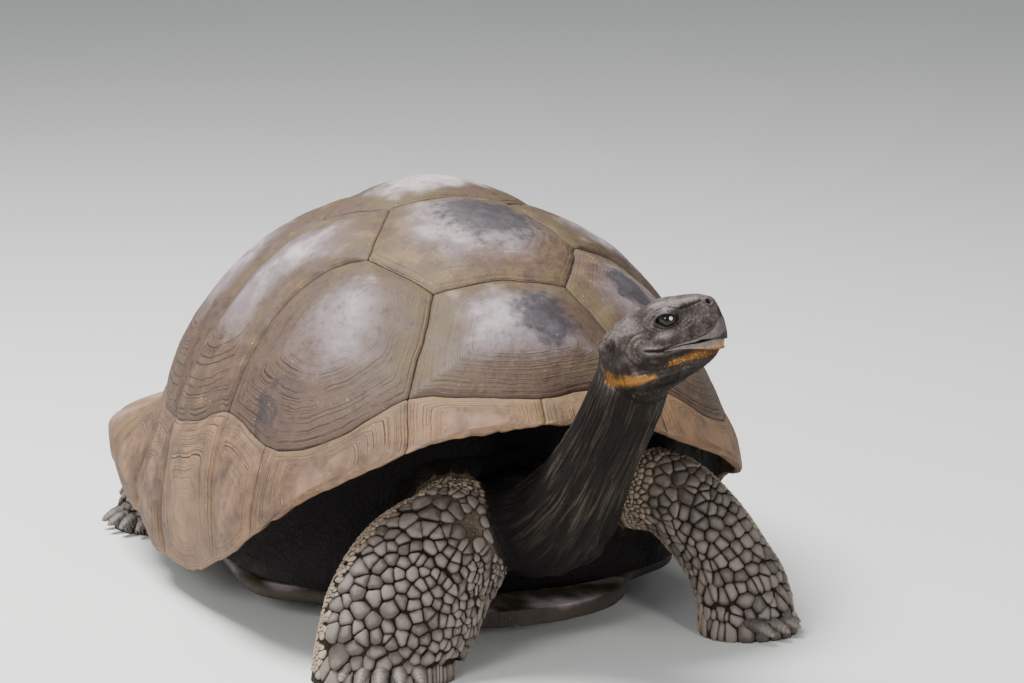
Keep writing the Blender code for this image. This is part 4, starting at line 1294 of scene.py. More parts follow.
    def lids(self, points: Array, sign: int) -> tuple[Array, Array]:
        """Draws the hide over one eyeball and opens the slit.

        Args:
            points: the head's points.
            sign: 1 for the left eye, -1 for the right.

        Returns:
            The points, and the height of the lids' folds at each.
        """
        cos, sin = math.cos(math.radians(self.eye_tilt)), math.sin(math.radians(self.eye_tilt))
        du, dw = points[..., 0] - self.eye[0], points[..., 2] - self.eye[2]
        x, y = du * cos + dw * sin, dw * cos - du * sin
        high = np.where(y > 0, self.eye_top, self.eye_bottom)
        power, fade = self.lid_power, self.lid_reach
        gauge = (np.abs(x / self.eye_length) ** power + np.abs(y / high) ** power) ** (1 / power)
        near = (points[..., 1] * sign > 0.006) & (gauge < 3.4)
        off = gauge - 1
        drawn = 1 + np.where(np.abs(off) < 0.4, off * np.abs(off) / 0.4, off)
        scale = np.where(near, drawn / np.maximum(gauge, 1e-6), 1)
        x, y = x * scale, y * scale
        r2 = x**2 + y**2
        outer, inner = self.eye_radius + self.lid_thick, self.eye_radius - 3.0 * MM
        over = self.eye[1] + np.sqrt(np.maximum(outer**2 - r2, 0)) - 12 * np.maximum(r2 - outer**2, 0) / outer
        folds = MM * (0.9 * hump(drawn, 1.12, 0.1) - 0.9 * hump(drawn, 1.42, 0.09)
                      - 0.8 * hump(drawn, 1.8, 0.1) - 0.6 * hump(drawn, 2.2, 0.12)
                      + 0.25 * Grain(0.003, 33).at(points) * (drawn > 1.2))
        side = points[..., 1] * sign
        hood = np.maximum(side, over) + 0.8 * MM * np.exp(-np.abs(side - over) / (1.6 * MM)) + folds
        socket = self.eye[1] + np.sqrt(np.maximum(inner**2 - r2, 1e-6))
        depth = np.where(drawn < 1, socket, side + (hood - side) * ease(*fade, gauge))
        placed = np.stack([self.eye[0] + x * cos - y * sin, depth * sign,
                           self.eye[2] + y * cos + x * sin], axis=-1)
        points = np.where(near[..., None], placed, points)
        return points, np.where(near, folds * ease(*fade, gauge) - 4 * MM * ease(1.34, 1.06, drawn), 0)

    def cast(self, angle: Array, w: Array) -> Array:
        """Points of the smooth head on level rays from inside the snout, at an angle from straight ahead."""
        angle, w = np.broadcast_arrays(angle, w)
        fine = through(self.sections, 400)
        near, far = np.zeros(w.shape), np.full(w.shape, self.cast_reach)
        for _ in range(26):
            reach = (near + far) / 2
            u, v = self.cast_from + reach * np.cos(angle), reach * np.sin(angle)
            half, top, bottom = (np.interp(u, fine[:, 0], fine[:, k]) for k in (1, 2, 3))
            middle, tall = (top + bottom) / 2, (top - bottom) / 2
            power = 2 / self.squareness
            gauge = np.abs(v / half) ** power + np.abs((w - middle) / tall) ** power
            outside = (gauge > 1) | (u > fine[-1, 0])
            near, far = np.where(outside, near, reach), np.where(outside, reach, far)
        return np.stack([self.cast_from + near * np.cos(angle), near * np.sin(angle), w], axis=-1)

    def sheet(self) -> Sheet:
        """The whole head as a closed body."""
        points, relief = self.shaped()
        rows = self.world(points)
        tip = self.world(points[-1].mean(axis=0) + [1.2 * MM, 0, 0])
        nape = self.world(points[0].mean(axis=0) - [3 * MM, 0, 0])
        local = self.grid()
        still = ease(-0.035, 0.015, local[..., 0]) * ease(-0.062, -0.045, local[..., 2])
        lie = points / (5 * MM) * still[..., None] + rows / self.neck_lie * (1 - still[..., None])
        return Sheet.lathe(rows, lying(lie, relief), nape, tip)

    def yellow(self, points: Array) -> Array:
        """How far points of the model lie in the yellow of the chin and the throat, from 0 to 1."""
        local = self.local(points)
        u, w = local[:, 0], local[:, 2]
        chin = spline(((0.05, -0.031, 0.004), (0.08, -0.03, 0.006), (0.103, -0.026, 0.01),
                       (0.13, -0.026, 0.018)), u)
        throat = spline(((-0.035, -0.037, 0.012), (0.0, -0.043, 0.011), (0.045, -0.043, 0.005)), u)
        first = hump(w, chin[:, 0], chin[:, 1]) * ease(0.05, 0.066, u)
        second = hump(w, throat[:, 0], throat[:, 1]) * ease(0.052, 0.036, u) * ease(-0.042, -0.026, u)
        return np.maximum(first, second) * (u < 0.17)


@dataclass
class Hide:
    """The one skin over head, neck, body, legs and tail."""

    skull: Skull
    neck: Neck
    legs: list[Limb]
    tail: Limb
    dome: Dome
    trunk_front: float = 0.385
    trunk_rear: float = 0.43
    trunk_half_width: float = 0.372
    trunk_power: float = 2.6
    belly_power: float = 14
    floor: float = 0.064
    recess: Pair = (-3.0, 15.0)
    lining: float = 0.023
    rim: float = 38 * MM
    stiffness: float = 0.7
    smoothing: int = 80
    trunk_mesh: tuple[int, int] = (60, 110)
    trunk_folds: float = 3.0 * MM

    def trunk_radius(self, d: Array) -> Array:
        """Distance from the heart to the body: close under the shell, drawn in below the rim."""
        azimuth, rise = heading(d)
        lining = self.dome.smooth_radius(d) - self.lining
        length = np.where(d[..., 0] > 0, self.trunk_front, self.trunk_rear)
        power = self.trunk_power
        plan = np.abs(d[..., 0] / length) ** power + np.abs(d[..., 1] / self.trunk_half_width) ** power
        body = 1 / (plan ** (1 / power) + 1e-9)
        low, high = self.recess
        above = ease(low, high, rise - self.dome.rim_at(azimuth))
        drawn = np.minimum(body, lining)
        upper = drawn + (lining - drawn) * above
        belly = np.minimum((self.dome.heart[2] - self.floor) / np.maximum(-d[..., 2], 1e-6), 9)
        return (upper**-self.belly_power + belly**-self.belly_power) ** (-1 / self.belly_power)

    def trunk(self) -> Sheet:
        """The body between the shells."""
        rows, count = self.trunk_mesh
        rise = np.linspace(-88, 88, rows)[:, None]
        azimuth = np.linspace(0, 360, count, endpoint=False)[None, :]
        d = direction(azimuth, rise)
        heart = np.array(self.dome.heart)
        plain = d * (self.trunk_radius(d) - 1.5 * MM)[..., None]
        folds = self.trunk_folds * Grain(0.05, 51, 2).at(plain) * ease(20, 0, rise) * ease(-60, -30, rise)
        points = heart + plain + d * folds[..., None]
        ends = np.array([[0, 0, -1.0], [0, 0, 1.0]])
        poles = [heart + end * float(self.trunk_radius(end)) for end in ends]
        # the whole trunk carries full painted shade (inner), for the shade under the shell
        return Sheet.lathe(points, lying(plain / (14 * MM), folds / (2 * MM), inner=1), *poles)

    def joined(self) -> tuple[Thing, Sheet]:
        """All the bodies of flesh as one closed mesh.

        Returns:
            The mesh, and the sheets it came from.
        """
        sheets = [self.trunk(), self.neck.sheet(), self.skull.sheet()]
        sheets += [limb.sheet() for limb in (*self.legs, self.tail)]
        bodies = [sheet.piece(f"flesh_{k}") for k, sheet in enumerate(sheets)]
        for body in bodies[1:]:
            union = bodies[0].modifiers.new("union", "BOOLEAN")
            union.operation, union.solver, union.object = "UNION", "MANIFOLD", body
        graph = bpy.context.evaluated_depsgraph_get()
        mesh = bpy.data.meshes.new_from_object(bodies[0].evaluated_get(graph))
        for body in bodies:
            bpy.data.objects.remove(body)
        return added("hide", mesh), Sheet.joined(sheets)

    def blended(self, mesh: bpy.types.Mesh, sources: Sheet) -> None:
        """Smooths the joins away and carries the relief over.

        Args:
            mesh: the joined mesh.
            sources: the sheets that it came from.
        """
        flat = np.empty(len(mesh.vertices) * 3, np.float32)
        mesh.vertices.foreach_get("co", flat)
        points = flat.reshape(-1, 3).astype(float)
        nearest, away = closest(sources.points, points)
        joins = points[away > 0.02 * MM]
        _, reach = closest(joins, points)
        share = ease(1.0, 0.25, reach / self.rim)[:, None]
        edges = np.empty(len(mesh.edges) * 2, np.int32)
        mesh.edges.foreach_get("vertices", edges)
        a, b = edges.reshape(-1, 2).T
        ends, others = np.concatenate([a, b]), np.concatenate([b, a])
        degree = np.bincount(ends, minlength=len(points))[:, None]
        for _ in range(self.smoothing):
            total = np.stack([np.bincount(ends, points[others, k], len(points)) for k in range(3)], axis=-1)
            points = points + share * self.stiffness * (total / degree - points)
        mesh.vertices.foreach_set("co", points.astype(np.float32).ravel())
        for key, numbers in sources.values.items():
            carry(mesh, key, numbers[nearest] * (1 - 0.8 * share[:, 0] if key == "relief" else 1))
        carry(mesh, "yellow", self.skull.yellow(points))
        local = self.skull.local(points)
        carry(mesh, "head", ease(-0.064, -0.046, local[:, 2]) * ease(-0.052, -0.022, local[:, 0])
              * ease(0.2, 0.15, norms(local)))
        carry(mesh, "leg", ease(0.17, 0.13, points[:, 2]))
        mesh.shade_smooth()

    def build(self) -> Thing:
        """Makes the skin and hands it to the frame."""
        skin, sources = self.joined()
        self.blended(skin.data, sources)
        skin.data.materials.clear()
        skin.data.materials.append(HideSkin().material())
        legs = [leg.name for leg in self.legs]
        return settle(skin, ["trunk", "neck", "head", "lower_jaw", "tail", *legs])


@dataclass
class Scales:
    """The horny scales of a leg or the tail: low closed mounds packed edge to edge over the hide."""

    limb: Limb
    seed: int
    start: float
    outer: float = 0.0
    large: float = 12.5 * MM
    small: float = 3.0 * MM
    grow_over: float = 0.18
    end: float = 0.955
    thrown: Pair = (0.9, 0.62)
    tries: int = 10000
    lowest: float = 6 * MM
    packing: float = 0.8
    relaxing: int = 9
    row_gap: float = 0.91
    row_step: float = 1.73
    row_reading: int = 257
    jitter: float = 0.12
    touching: float = 0.98
    push: float = 0.22
    gap: float = 0.25 * MM
    longest: float = 1.8
    neighbours: float = 2.6
    rays: int = 64
    coarse: float = 7 * MM
    sink: float = 1.6 * MM
    patch: float = 0.0015

    def sizes(self, t: Array, angle: Array) -> tuple[Array, Array]:
        """How large the scales are at a place, and how far they are drawn out down the limb."""
        ahead, out = np.sin(angle), np.cos(angle - self.outer)
        grown = ease(self.start, self.start + self.grow_over, t)
        broad = ease(-0.35, 0.35, ahead) * ease(0.985, 0.8, out) * grown
        inner = ease(-0.35, -0.75, out)
        radius = self.small + (self.large - self.small) * broad * (1 - 0.35 * inner)
        behind = ease(0.0, -0.5, ahead) * grown
        return radius + (self.large * 0.55 - self.small) * behind * (1 - broad), 1.05 + 0.65 * inner

    def spots(self) -> tuple[Array, Array, Array]:
        """Where the scales stand, as t and angle, and their share of full size.

        They stand in rows. Others are thrown at random into the gaps, large ones first, and all are
        eased apart.
        """
        rng = np.random.default_rng(self.seed)
        t, angle = self.rows(rng)
        grown = np.ones(len(t))
        for share in self.thrown:
            more_t = self.start + (self.end - self.start) * rng.random(self.tries)
            more_angle = rng.random(self.tries) * TURN
            radius = share * self.sizes(more_t, more_angle)[0]
            points = self.limb.at(more_t, more_angle)
            placed = np.concatenate([self.limb.at(t, angle), points])
            sizes = np.concatenate([self.sizes(t, angle)[0] * grown, radius])
            kept: list[int] = []
            for k in np.argsort(-radius + 2 * MM * rng.random(self.tries)):
                n = len(t) + len(kept)
                away2 = ((placed[:n] - points[k]) ** 2).sum(axis=1)
                clear2 = (self.packing * (sizes[:n] + radius[k])) ** 2
                if points[k, 2] > self.lowest and (away2 > clear2).all():
                    placed[n], sizes[n] = points[k], radius[k]
                    kept.append(int(k))
            t, angle = np.append(t, more_t[kept]), np.append(angle, more_angle[kept])
            grown = np.append(grown, np.full(len(kept), share))
            t, angle = self.eased(t, angle, grown)
        return t, angle % TURN, grown

    def rows(self, rng: np.random.Generator) -> tuple[Array, Array]:
        """Places in staggered rows round the limb, as far apart as the scales there are wide."""
        turn = np.linspace(0, TURN, self.row_reading)
        found, t, odd = [], self.start, 0.0
        while t < self.end:
            radius = self.sizes(t, turn)[0]
            down, round_ = self.tangents(np.full(len(turn), t), turn)
            density = norms(round_) * turn[1] / (2 * self.row_gap * radius)
            share = np.append(0, np.cumsum(density[1:]))
            count = int(share[-1])
            steps = np.arange(count) + odd + self.jitter * rng.standard_normal(count)
            widest = int(radius.argmax())
            step = self.row_step * self.row_gap * radius[widest] / float(np.linalg.norm(down[widest]))
            found.append(np.stack([t + self.jitter * step * rng.standard_normal(count),
                                   np.interp(steps % count * share[-1] / count, share, turn)]))
            t, odd = t + step, 0.5 - odd
        places = np.concatenate(found, axis=1)
        return np.clip(places[0], self.start, self.end), places[1]

    def eased(self, t: Array, angle: Array, grown: Array) -> tuple[Array, Array]:
        """The places after scales that crowd one another have pushed apart."""
        for _ in range(self.relaxing):
            points = self.limb.at(t, angle)
            radius, stretch = self.sizes(t, angle)
            radius = radius * grown
            down, round_ = self.tangents(t, angle)
            apart = points[:, None] - points[None]
            along = np.einsum("ijk,ik->ij", apart, unit(down))
            across = np.einsum("ijk,ik->ij", apart, unit(round_))
            away = np.sqrt((along / stretch[:, None]) ** 2 + across**2) + 1e-9
            push = np.clip(self.touching * (radius[:, None] + radius[None]) - away, 0, None) * self.push
            np.fill_diagonal(push, 0)
            t = t + (push * along / away).sum(axis=1) / norms(down)
            angle = angle + (push * across / away).sum(axis=1) / norms(round_)
            t = np.clip(t, self.start, self.end)
        return t, angle

    def tangents(self, t: Array, angle: Array) -> tuple[Array, Array]:
        """Steps in space for one step of t and one of angle."""
        step = 1e-3
        down = (self.limb.at(t + step, angle) - self.limb.at(t - step, angle)) / (2 * step)
        return down, (self.limb.at(t, angle + step) - self.limb.at(t, angle - step)) / (2 * step)

    def outline(self, own: float, others: Array, radii: Array, stretch: float, count: int) -> Array:
        """One scale's rounded outline.

        Args:
            own: the scale's radius.
            others: where its neighbours lie, down and across, from it.
            radii: the neighbours' radii.
            stretch: how far the scale is drawn out.
            count: how many points to give it.

        Returns:
            The outline's points, down and across.
        """
        squeeze = np.array([1 / stretch, 1.0])
        turn = np.linspace(0, TURN, self.rays, endpoint=False)
        rays = np.stack([np.cos(turn), np.sin(turn)], axis=-1)
        flat = others * squeeze
        away = norms(flat)
        facing = rays @ (flat / away[:, None]).T
        wall = away * own / (own + radii) - self.gap
        reach = np.where(facing > 0.05, wall / np.maximum(facing, 0.05), np.inf).min(axis=1)
        reach = np.minimum(reach, self.longest * own)
        kernel = np.array([1, 2, 3, 2, 1]) / 9
        reach = sum(np.roll(reach, k - 2) * share for k, share in enumerate(kernel))
        pick = np.linspace(0, self.rays, count, endpoint=False).astype(int)
        return rays[pick] * reach[pick, None] / squeeze

    def mound(self, t: float, angle: float, outline: Array, radius: float, full: float, tone: float,
              lengths: Array) -> Sheet:
        """One closed scale, its lower edge standing proud.

        Args:
            t: its place down the limb.
            angle: its place round the limb.
            outline: its outline, down and across.
            radius: its own radius.
            full: the radius of a full-grown scale at this place.
            tone: how much paler it is than others.
            lengths: metres for one unit of t and of angle.

        Returns:
            The scale.
        """
        rings = ((0.95, -1.0), (1.0, -0.05), (0.97, 0.32), (0.88, 0.62), (0.64, 0.9), (0.32, 1.02))
        if radius < self.coarse:
            rings = rings[:2] + ((0.86, 0.8), (0.42, 1.0))
        share, high = np.array(rings).T[..., None]
        flat = outline[None] * share[..., None]
        bulk = (full - self.small) / (self.large - self.small + 1e-9)
        height = (0.2 + 0.24 * bulk) * radius + 0.5 * MM
        lean = 0.5 + 0.5 * np.clip(flat[..., 0] / (1.1 * radius), -1, 1)
        lift = np.where(high < 0, -self.sink, high * height * (0.35 + 0.95 * lean) + 0.6 * MM * lean)
        ribs = 0.25 * MM * np.sin(flat[..., 1] * 900 + tone * 9)
        lift = lift + ribs * (high > 0.5) * (radius > self.coarse)
        rows = self.limb.at(t + flat[..., 0] / lengths[0], angle + flat[..., 1] / lengths[1], lift)
        ends = self.limb.at(t, angle, np.array([-self.sink, height * 0.96]))
        numbers = {"edge": share + 0 * lift, "tone": tone + 0 * lift, "bulk": bulk + 0 * lift}
        sheet = Sheet.lathe(rows, numbers, *ends)
        root = np.array([angle / TURN, t])
        spread = np.concatenate([(flat / (1.4 * radius)).reshape(-1, 2)[:, ::-1], np.zeros((2, 2))])
        sheet.unwrap = np.clip(root + self.patch * np.clip(spread, -1, 1), 0, 1)
        return sheet

    def build(self) -> None:
        """Makes all the scales as one piece and hands it to the frame."""
        t, angle, grown = self.spots()
        points = self.limb.at(t, angle)
        radius, stretch = self.sizes(t, angle)
        radius = radius * grown
        down, round_ = self.tangents(t, angle)
        lengths = np.stack([norms(down), norms(round_)], axis=-1)
        tones = np.random.default_rng(self.seed + 1).uniform(-0.5, 0.5, len(t))
        sheets = []
        for k in range(len(t)):
            apart = points - points[k]
            away = norms(apart)
            near = np.flatnonzero((away < self.neighbours * (radius + radius[k])) & (away > 1e-6))
            if len(near) < 3:
                continue
            flat = np.stack([apart[near] @ unit(down[k]), apart[near] @ unit(round_[k])], axis=-1)
            count = 18 if radius[k] > self.coarse else 10
            outline = self.outline(radius[k], flat, radius[near], stretch[k], count)
            full = radius[k] / grown[k]
            sheets.append(self.mound(t[k], angle[k], outline, radius[k], full, tones[k], lengths[k]))
        coat = Sheet.joined(sheets).piece("scales_" + self.limb.name, LegScale().material())
        log.info("%d scales", len(sheets))
        settle(coat)


# ---- beak, eyes, claws


@dataclass
class Beak:
    """The horny edges of the two jaws."""

    skull: Skull
    spread: float = 1.75
    steps: int = 150
    rises: int = 26
    thick: float = 2.4 * MM
    hook: float = 6.5 * MM
    open: float = 0.7 * MM

    def band(self, jaw: Jaw) -> Sheet:
        """One jaw's horn as a closed band round the snout."""
        skull, upper = self.skull, jaw is Jaw.UPPER
        angle = np.linspace(-self.spread, self.spread, self.steps)[None, :]
        share = np.linspace(0, 1, self.rises)[:, None]
        ends = np.cos(np.clip(angle / self.spread, -1, 1) * math.pi / 2) ** 0.35
        w = np.full((self.rises, self.steps), -0.01)
        knots = skull.upper_horn if upper else skull.lower_horn
        for _ in range(4):
            surface = skull.cast(angle, w)
            u = surface[..., 0]
            tall = spline(knots, u)[..., 0] * ends + 0.2 * MM
            nick = Grain(0.008, 41).at(surface) * 0.5 * MM
            tip = self.hook * (hump(angle, 0, 0.3) - 0.45 * hump(np.abs(angle), 0.62, 0.18)) if upper else 0
            w = skull.lip(u) + jaw.value * (self.open + share * tall) - tip * (1 - share) + nick * (1 - share)
        surface = skull.cast(angle, w)
        out = jaw.value * unit(np.cross(np.gradient(surface, axis=1), np.gradient(surface, axis=0)))
        bulge = 1.1 * MM * (1 - share) ** 2 if upper else 0.9 * MM * (1 - share)
        tuck = 0.7 * MM if upper else 0.3 * MM - skull.chin_back(surface[..., 0])
        rise = bulge + 0.45 * MM * Grain(0.006, 42, 2).at(surface * [1, 1, 0.35]) + tuck
        thin = ease(1.0, 0.8, share) * ends
        outer = surface + out * (rise * thin - 0.4 * MM * (1 - thin))[..., None]
        inner = surface - out * (self.thick * (0.5 + 0.5 * thin))[..., None]
        loop = np.concatenate([outer, inner[::-1]]).transpose(1, 0, 2)
        height = (np.concatenate([share, share[::-1]]) + 0 * angle).T
        front = np.concatenate([hump(angle, 0, 0.5) + 0 * share] * 2).T
        return Sheet.lathe(skull.world(loop), {"height": height, "front": front})

    def build(self) -> None:
        """Makes both bands and hands them to the frame."""
        for jaw in Jaw:
            name = jaw.word + "_beak"
            settle(self.band(jaw).piece("horn_" + name, BeakHorn(jaw).material()), [name])


@dataclass
class Eye:
    """An eyeball that looks out through the slit of the lids."""

    skull: Skull
    side: Side
    gaze: Triple = (0.12, 1.0, 0.06)
    # corner: the direction of the painted highlight on the ball
    corner: Triple = (0.52, 0.85, 0.14)
    cornea: float = 0.8 * MM

    def build(self) -> None:
        """Makes the ball with its bulging cornea and hands it to the frame."""
        rise = np.linspace(-86, 86, 64)[:, None]
        azimuth = np.linspace(0, 360, 96, endpoint=False)[None, :]
        d = direction(azimuth, rise)
        gaze, corner, centre = (np.array(place) * [1, self.side.value, 1]
                                for place in (self.gaze, self.corner, self.skull.eye))
        # pale: the angle from the painted highlight's direction, turned into its share below
        off, pale = (np.arccos(np.clip(d @ unit(way), -1, 1)) for way in (gaze, corner))
        ball = self.skull.eye_radius - self.cornea
        radius = ball + self.cornea * ease(0.75, 0.3, off)
        ends = [centre + np.array([0, 0, s]) * ball for s in (-1, 1)]
        sheet = Sheet.lathe(self.skull.world(centre + d * radius[..., None]),
                            {"off": off, "pale": hump(pale, 0, 0.24)}, *self.skull.world(np.array(ends)))
        word = self.side.word
        settle(sheet.piece("eyeball_" + word, EyeGlass().material()), ["eye_" + word])


@dataclass
class Foot:
    """The row of blunt claws on one foot."""

    leg: Limb
    toes: Pair
    count: int
    toe_rise: float = 0.0275
    toe_depth: float = 0.012
    spacing: float = 0.0225
    set_back: float = 0.006
    spread: float = 0.17
    length: float = 0.046
    radius: float = 0.0135
    drop: float = 0.011
    mesh: tuple[int, int] = (34, 30)

    def claw(self, k: int) -> Sheet:
        """One claw as a closed, downcurved and slightly flattened cone."""
        outward = unit(np.array([*self.toes, 0.0]))
        across = np.array([-outward[1], outward[0], 0])
        foot, reach = self.leg.stations[-2][:3], self.leg.stations[-2][4] - self.toe_depth
        toe = np.array([foot[0], foot[1], 0]) + self.leg.slide + outward * reach + [0, 0, self.toe_rise]
        offset = k - (self.count - 1) / 2
        root = toe + across * offset * self.spacing - outward * self.set_back * abs(offset) ** 1.4
        ahead = unit(outward + across * offset * self.spread)
        side = np.array([-ahead[1], ahead[0], 0])
        length = self.length * (1 - 0.06 * abs(offset))
        rows, count = self.mesh
        s = np.linspace(-0.35, 1, rows)[:, None]
        angle = np.linspace(0, TURN, count, endpoint=False)[None, :]
        bare = np.maximum(s, 0)
        wide = self.radius * np.sqrt(np.clip(1 - bare**2.6, 0.02, 1)) * (1 - 0.22 * bare)
        drop = -self.drop * bare**1.8
        along = np.linspace(0, 3, rows)[:, None]
        rings = 0.35 * MM * np.sin(along * 14 + k * 2 + 1.5 * np.sin(along * 5 + k))
        wide = wide + rings * (s < 0.9) + 0.25 * MM * Grain(0.006, 130 + k).at(
            np.stack([s * length + 0 * angle, np.cos(angle) * wide, np.sin(angle) * wide], axis=-1))
        high = drop + 0.85 * wide * np.sin(angle)
        points = (root + (ahead * length) * s[..., None] + np.array([0, 0, 1]) * high[..., None]
                  + side * (wide * np.cos(angle))[..., None])
        tip = points[-1].mean(axis=0) + ahead * 1.0 * MM
        return Sheet.lathe(points, {"along": s + 0 * angle}, last=tip)

    def build(self) -> None:
        """Makes the row and hands it to the frame."""
        name = "claws_" + self.leg.name.replace("leg", "")
        row = Sheet.joined([self.claw(k) for k in range(self.count)])
        row.points[:, 2] = np.maximum(row.points[:, 2], 0.4 * MM)
        settle(row.piece("horn_" + name, ClawHorn().material()), [name])


@dataclass
class Plastron:
    """The flat shell underneath, in six pairs of plates."""

    middle: Pair
    bottom: float = 0.036
    thick: float = 0.024
    front: float = 0.43
    rear: float = 0.42
    lobe: float = 0.235
    bridge: float = 0.345
    seams: tuple[float, ...] = (0.345, 0.262, 0.135, -0.135, -0.262)
    groove: float = 1.8 * MM
    groove_width: float = 2.5 * MM
    growth_reach: float = 0.08
    finish: ShellHorn = ShellHorn("plastron_horn", brown=(0.034, 0.024, 0.017), tan=(0.056, 0.038, 0.026))

    def half_width(self, x: Array) -> Array:
        """Two rounded lobes with the wide bridge between them."""
        lobe = self.lobe + (self.bridge - self.lobe) / (1 + np.exp((np.abs(x + 0.01) - 0.23) / 0.02))
        end = np.where(x > 0, self.front, self.rear)
        return lobe * np.maximum(1 - np.abs(x / end) ** 5, 0) ** 0.45

    def build(self) -> None:
        """Makes the plate and hands it to the frame."""
        angle = np.linspace(0, math.pi, 182)[1:-1, None]
        x = (self.front - self.rear) / 2 + (self.front + self.rear) / 2 * np.cos(angle)
        half = self.half_width(x)
        turn = np.linspace(-math.pi / 2, math.pi / 2, 9)[None, 1:-1]
        across = np.linspace(-1, 1, 90)[None, :]
        edge = 0.5 * self.thick
        inside = np.maximum(half - edge, 0.05 * half)
        bend = np.minimum(edge, half)
        y = np.concatenate([inside * across, inside + bend * np.cos(turn), inside * across[:, ::-1],
                            -inside - bend * np.cos(turn)], axis=1)
        rise = np.concatenate([0 * across - 1, np.sin(turn), 0 * across + 1, -np.sin(turn)], axis=1)
        x = x + 0 * y
        z = self.bottom + edge + edge * rise
        down = (rise < -0.5) * 1.0
        flat = np.stack([x, y, 0 * y], axis=-1)
        sway = 5 * MM * Grain(0.09, 91, 2).at(flat)
        gap = np.abs(y + 0.8 * sway)
        for seam in self.seams:
            gap = np.minimum(gap, np.abs(x - seam - 0.05 * np.abs(y) + sway))
        growth = np.clip(1 - gap / self.growth_reach, 0, 1)
        groove = hump(gap, 0, self.groove_width)
        z = z + down * (self.groove * groove + 0.4 * MM * np.sin(gap * 900) * growth
                        - 0.5 * MM * Grain(0.03, 92, 2).at(flat))
        rows = np.stack([x, y, z], axis=-1) + np.array([*self.middle, 0])
        marks = {"growth": growth, "seam": groove, "smudge": 0 * x, "rim": 0 * x, "edging": 0 * x,
                 "tone": 0 * x - 0.4}
        plate = Sheet.lathe(rows, marks).piece("horn_plastron", self.finish.material())
        settle(plate, ["plastron"])


# ---- stage


@dataclass(frozen=True)
class Studio:
    """A pale floor, soft lights from above, and the camera ahead and to the animal's right."""

    centre: Triple
    turn: float = 74.1
    tilt: float = 12.7
    away: float = 5.37
    aim_height: float = 0.32
    lens: float = 120.3
    sensor: float = 36.0
    aim_right: float = 0.022  # tangent of the angle from the aim point to the middle of the view
    aim_up: float = 0.01
    floor_size: float = 60.0
    sky_colour: Colour = (0.93, 0.97, 1.0)
    sky_strength: float = 0.37

    # Name, place, watts and width
    LAMPS = (("key", (-0.5, -1.5, 4.2), 500, 2.0), ("fill", (3.0, -2.9, 2.0), 110, 1.6),
             ("catch", (4.6, 0.9, 1.5), 75, 0.7))

    def build(self) -> None:
        """Makes the floor, the lights and the camera."""
        self.floor()
        self.lights()
        self.camera()

    def floor(self) -> None:
        """Lays the floor under the feet."""
        half = self.floor_size / 2
        corners = half * np.array([(-1, -1, 0), (1, -1, 0), (1, 1, 0), (-1, 1, 0)], float)
        ground = Sheet(corners, np.array([[0, 1, 2, 3]]), np.zeros((0, 3), int)).piece(
            "studio_floor", FloorPaint().material())

    def lights(self) -> None:
        """Hangs a broad soft key to the right and above, a weak fill, a small catch light and a pale sky."""
        for name, place, power, size in self.LAMPS:
            lamp = bpy.data.lights.new(name, "AREA")
            lamp.energy, lamp.size = power, size
            at, aim = np.array(place), np.array([0, 0, 0.3])
            added(name, lamp).matrix_world = self.looking(at, aim - at, np.array([0.0, 1.0, 0.0]))
        world = bpy.data.worlds.new("soft_sky")
        world.use_nodes = True
        sky = world.node_tree.nodes["Background"].inputs
        sky["Color"].default_value = (*self.sky_colour, 1)
        sky["Strength"].default_value = self.sky_strength
        bpy.context.scene.world = world

    def camera(self) -> None:
        """Sets the camera at eye height, five metres away, with a long lens."""
        t, p = math.radians(self.turn), math.radians(self.tilt)
        right, ahead = np.array([math.cos(t), math.sin(t), 0]), np.array([-math.sin(t), math.cos(t), 0])
        level = np.array([0, 0, 1.0])
        look = ahead * math.cos(p) - level * math.sin(p)
        up = ahead * math.sin(p) + level * math.cos(p)
        eye = np.array([self.centre[0], self.centre[1], self.aim_height]) - look * self.away
        data = bpy.data.cameras.new("camera")
        data.lens, data.sensor_width = self.lens, self.sensor
        holder = added("camera", data)
        holder.matrix_world = self.looking(eye, look + right * self.aim_right + up * self.aim_up, right)
        bpy.context.scene.camera = holder

    @staticmethod
    def looking(at: Array, look: Array, right: Array) -> Matrix:
        """A placement at a point, facing along look, level along right."""
        back = -unit(look)
        side = unit(right - back * (right @ back))
        columns = np.column_stack([side, np.cross(back, side), back, at])
        return Matrix([*map(tuple, columns), (0, 0, 0, 1)])


# Stations of x, y, z, half-width and half-depth
NECK = ((0.34, 0.0, 0.185, 0.088, 0.078), (0.44, 0.015, 0.195, 0.092, 0.08),
        (0.52, 0.033, 0.222, 0.086, 0.074), (0.575, 0.049, 0.275, 0.068, 0.064),
        (0.612, 0.063, 0.335, 0.057, 0.057), (0.642, 0.079, 0.392, 0.055, 0.053),
        (0.662, 0.094, 0.45, 0.055, 0.05), (0.674, 0.1, 0.5, 0.05, 0.042))
FORE_RIGHT = ((0.3, -0.09, 0.198, 0.062, 0.054), (0.388, -0.081, 0.201, 0.071, 0.061),
              (0.448, -0.098, 0.186, 0.088, 0.073), (0.474, -0.156, 0.138, 0.107, 0.072),
              (0.49, -0.193, 0.087, 0.111, 0.066), (0.502, -0.218, 0.04, 0.106, 0.064),
              (0.507, -0.23, -0.03, 0.102, 0.064))
FORE_LEFT = ((0.28, 0.15, 0.2, 0.065, 0.056), (0.345, 0.195, 0.214, 0.065, 0.057),
             (0.395, 0.248, 0.21, 0.063, 0.055), (0.419, 0.295, 0.163, 0.064, 0.051),
             (0.43, 0.33, 0.108, 0.066, 0.05), (0.437, 0.354, 0.05, 0.074, 0.055),
             (0.439, 0.362, -0.03, 0.076, 0.057))
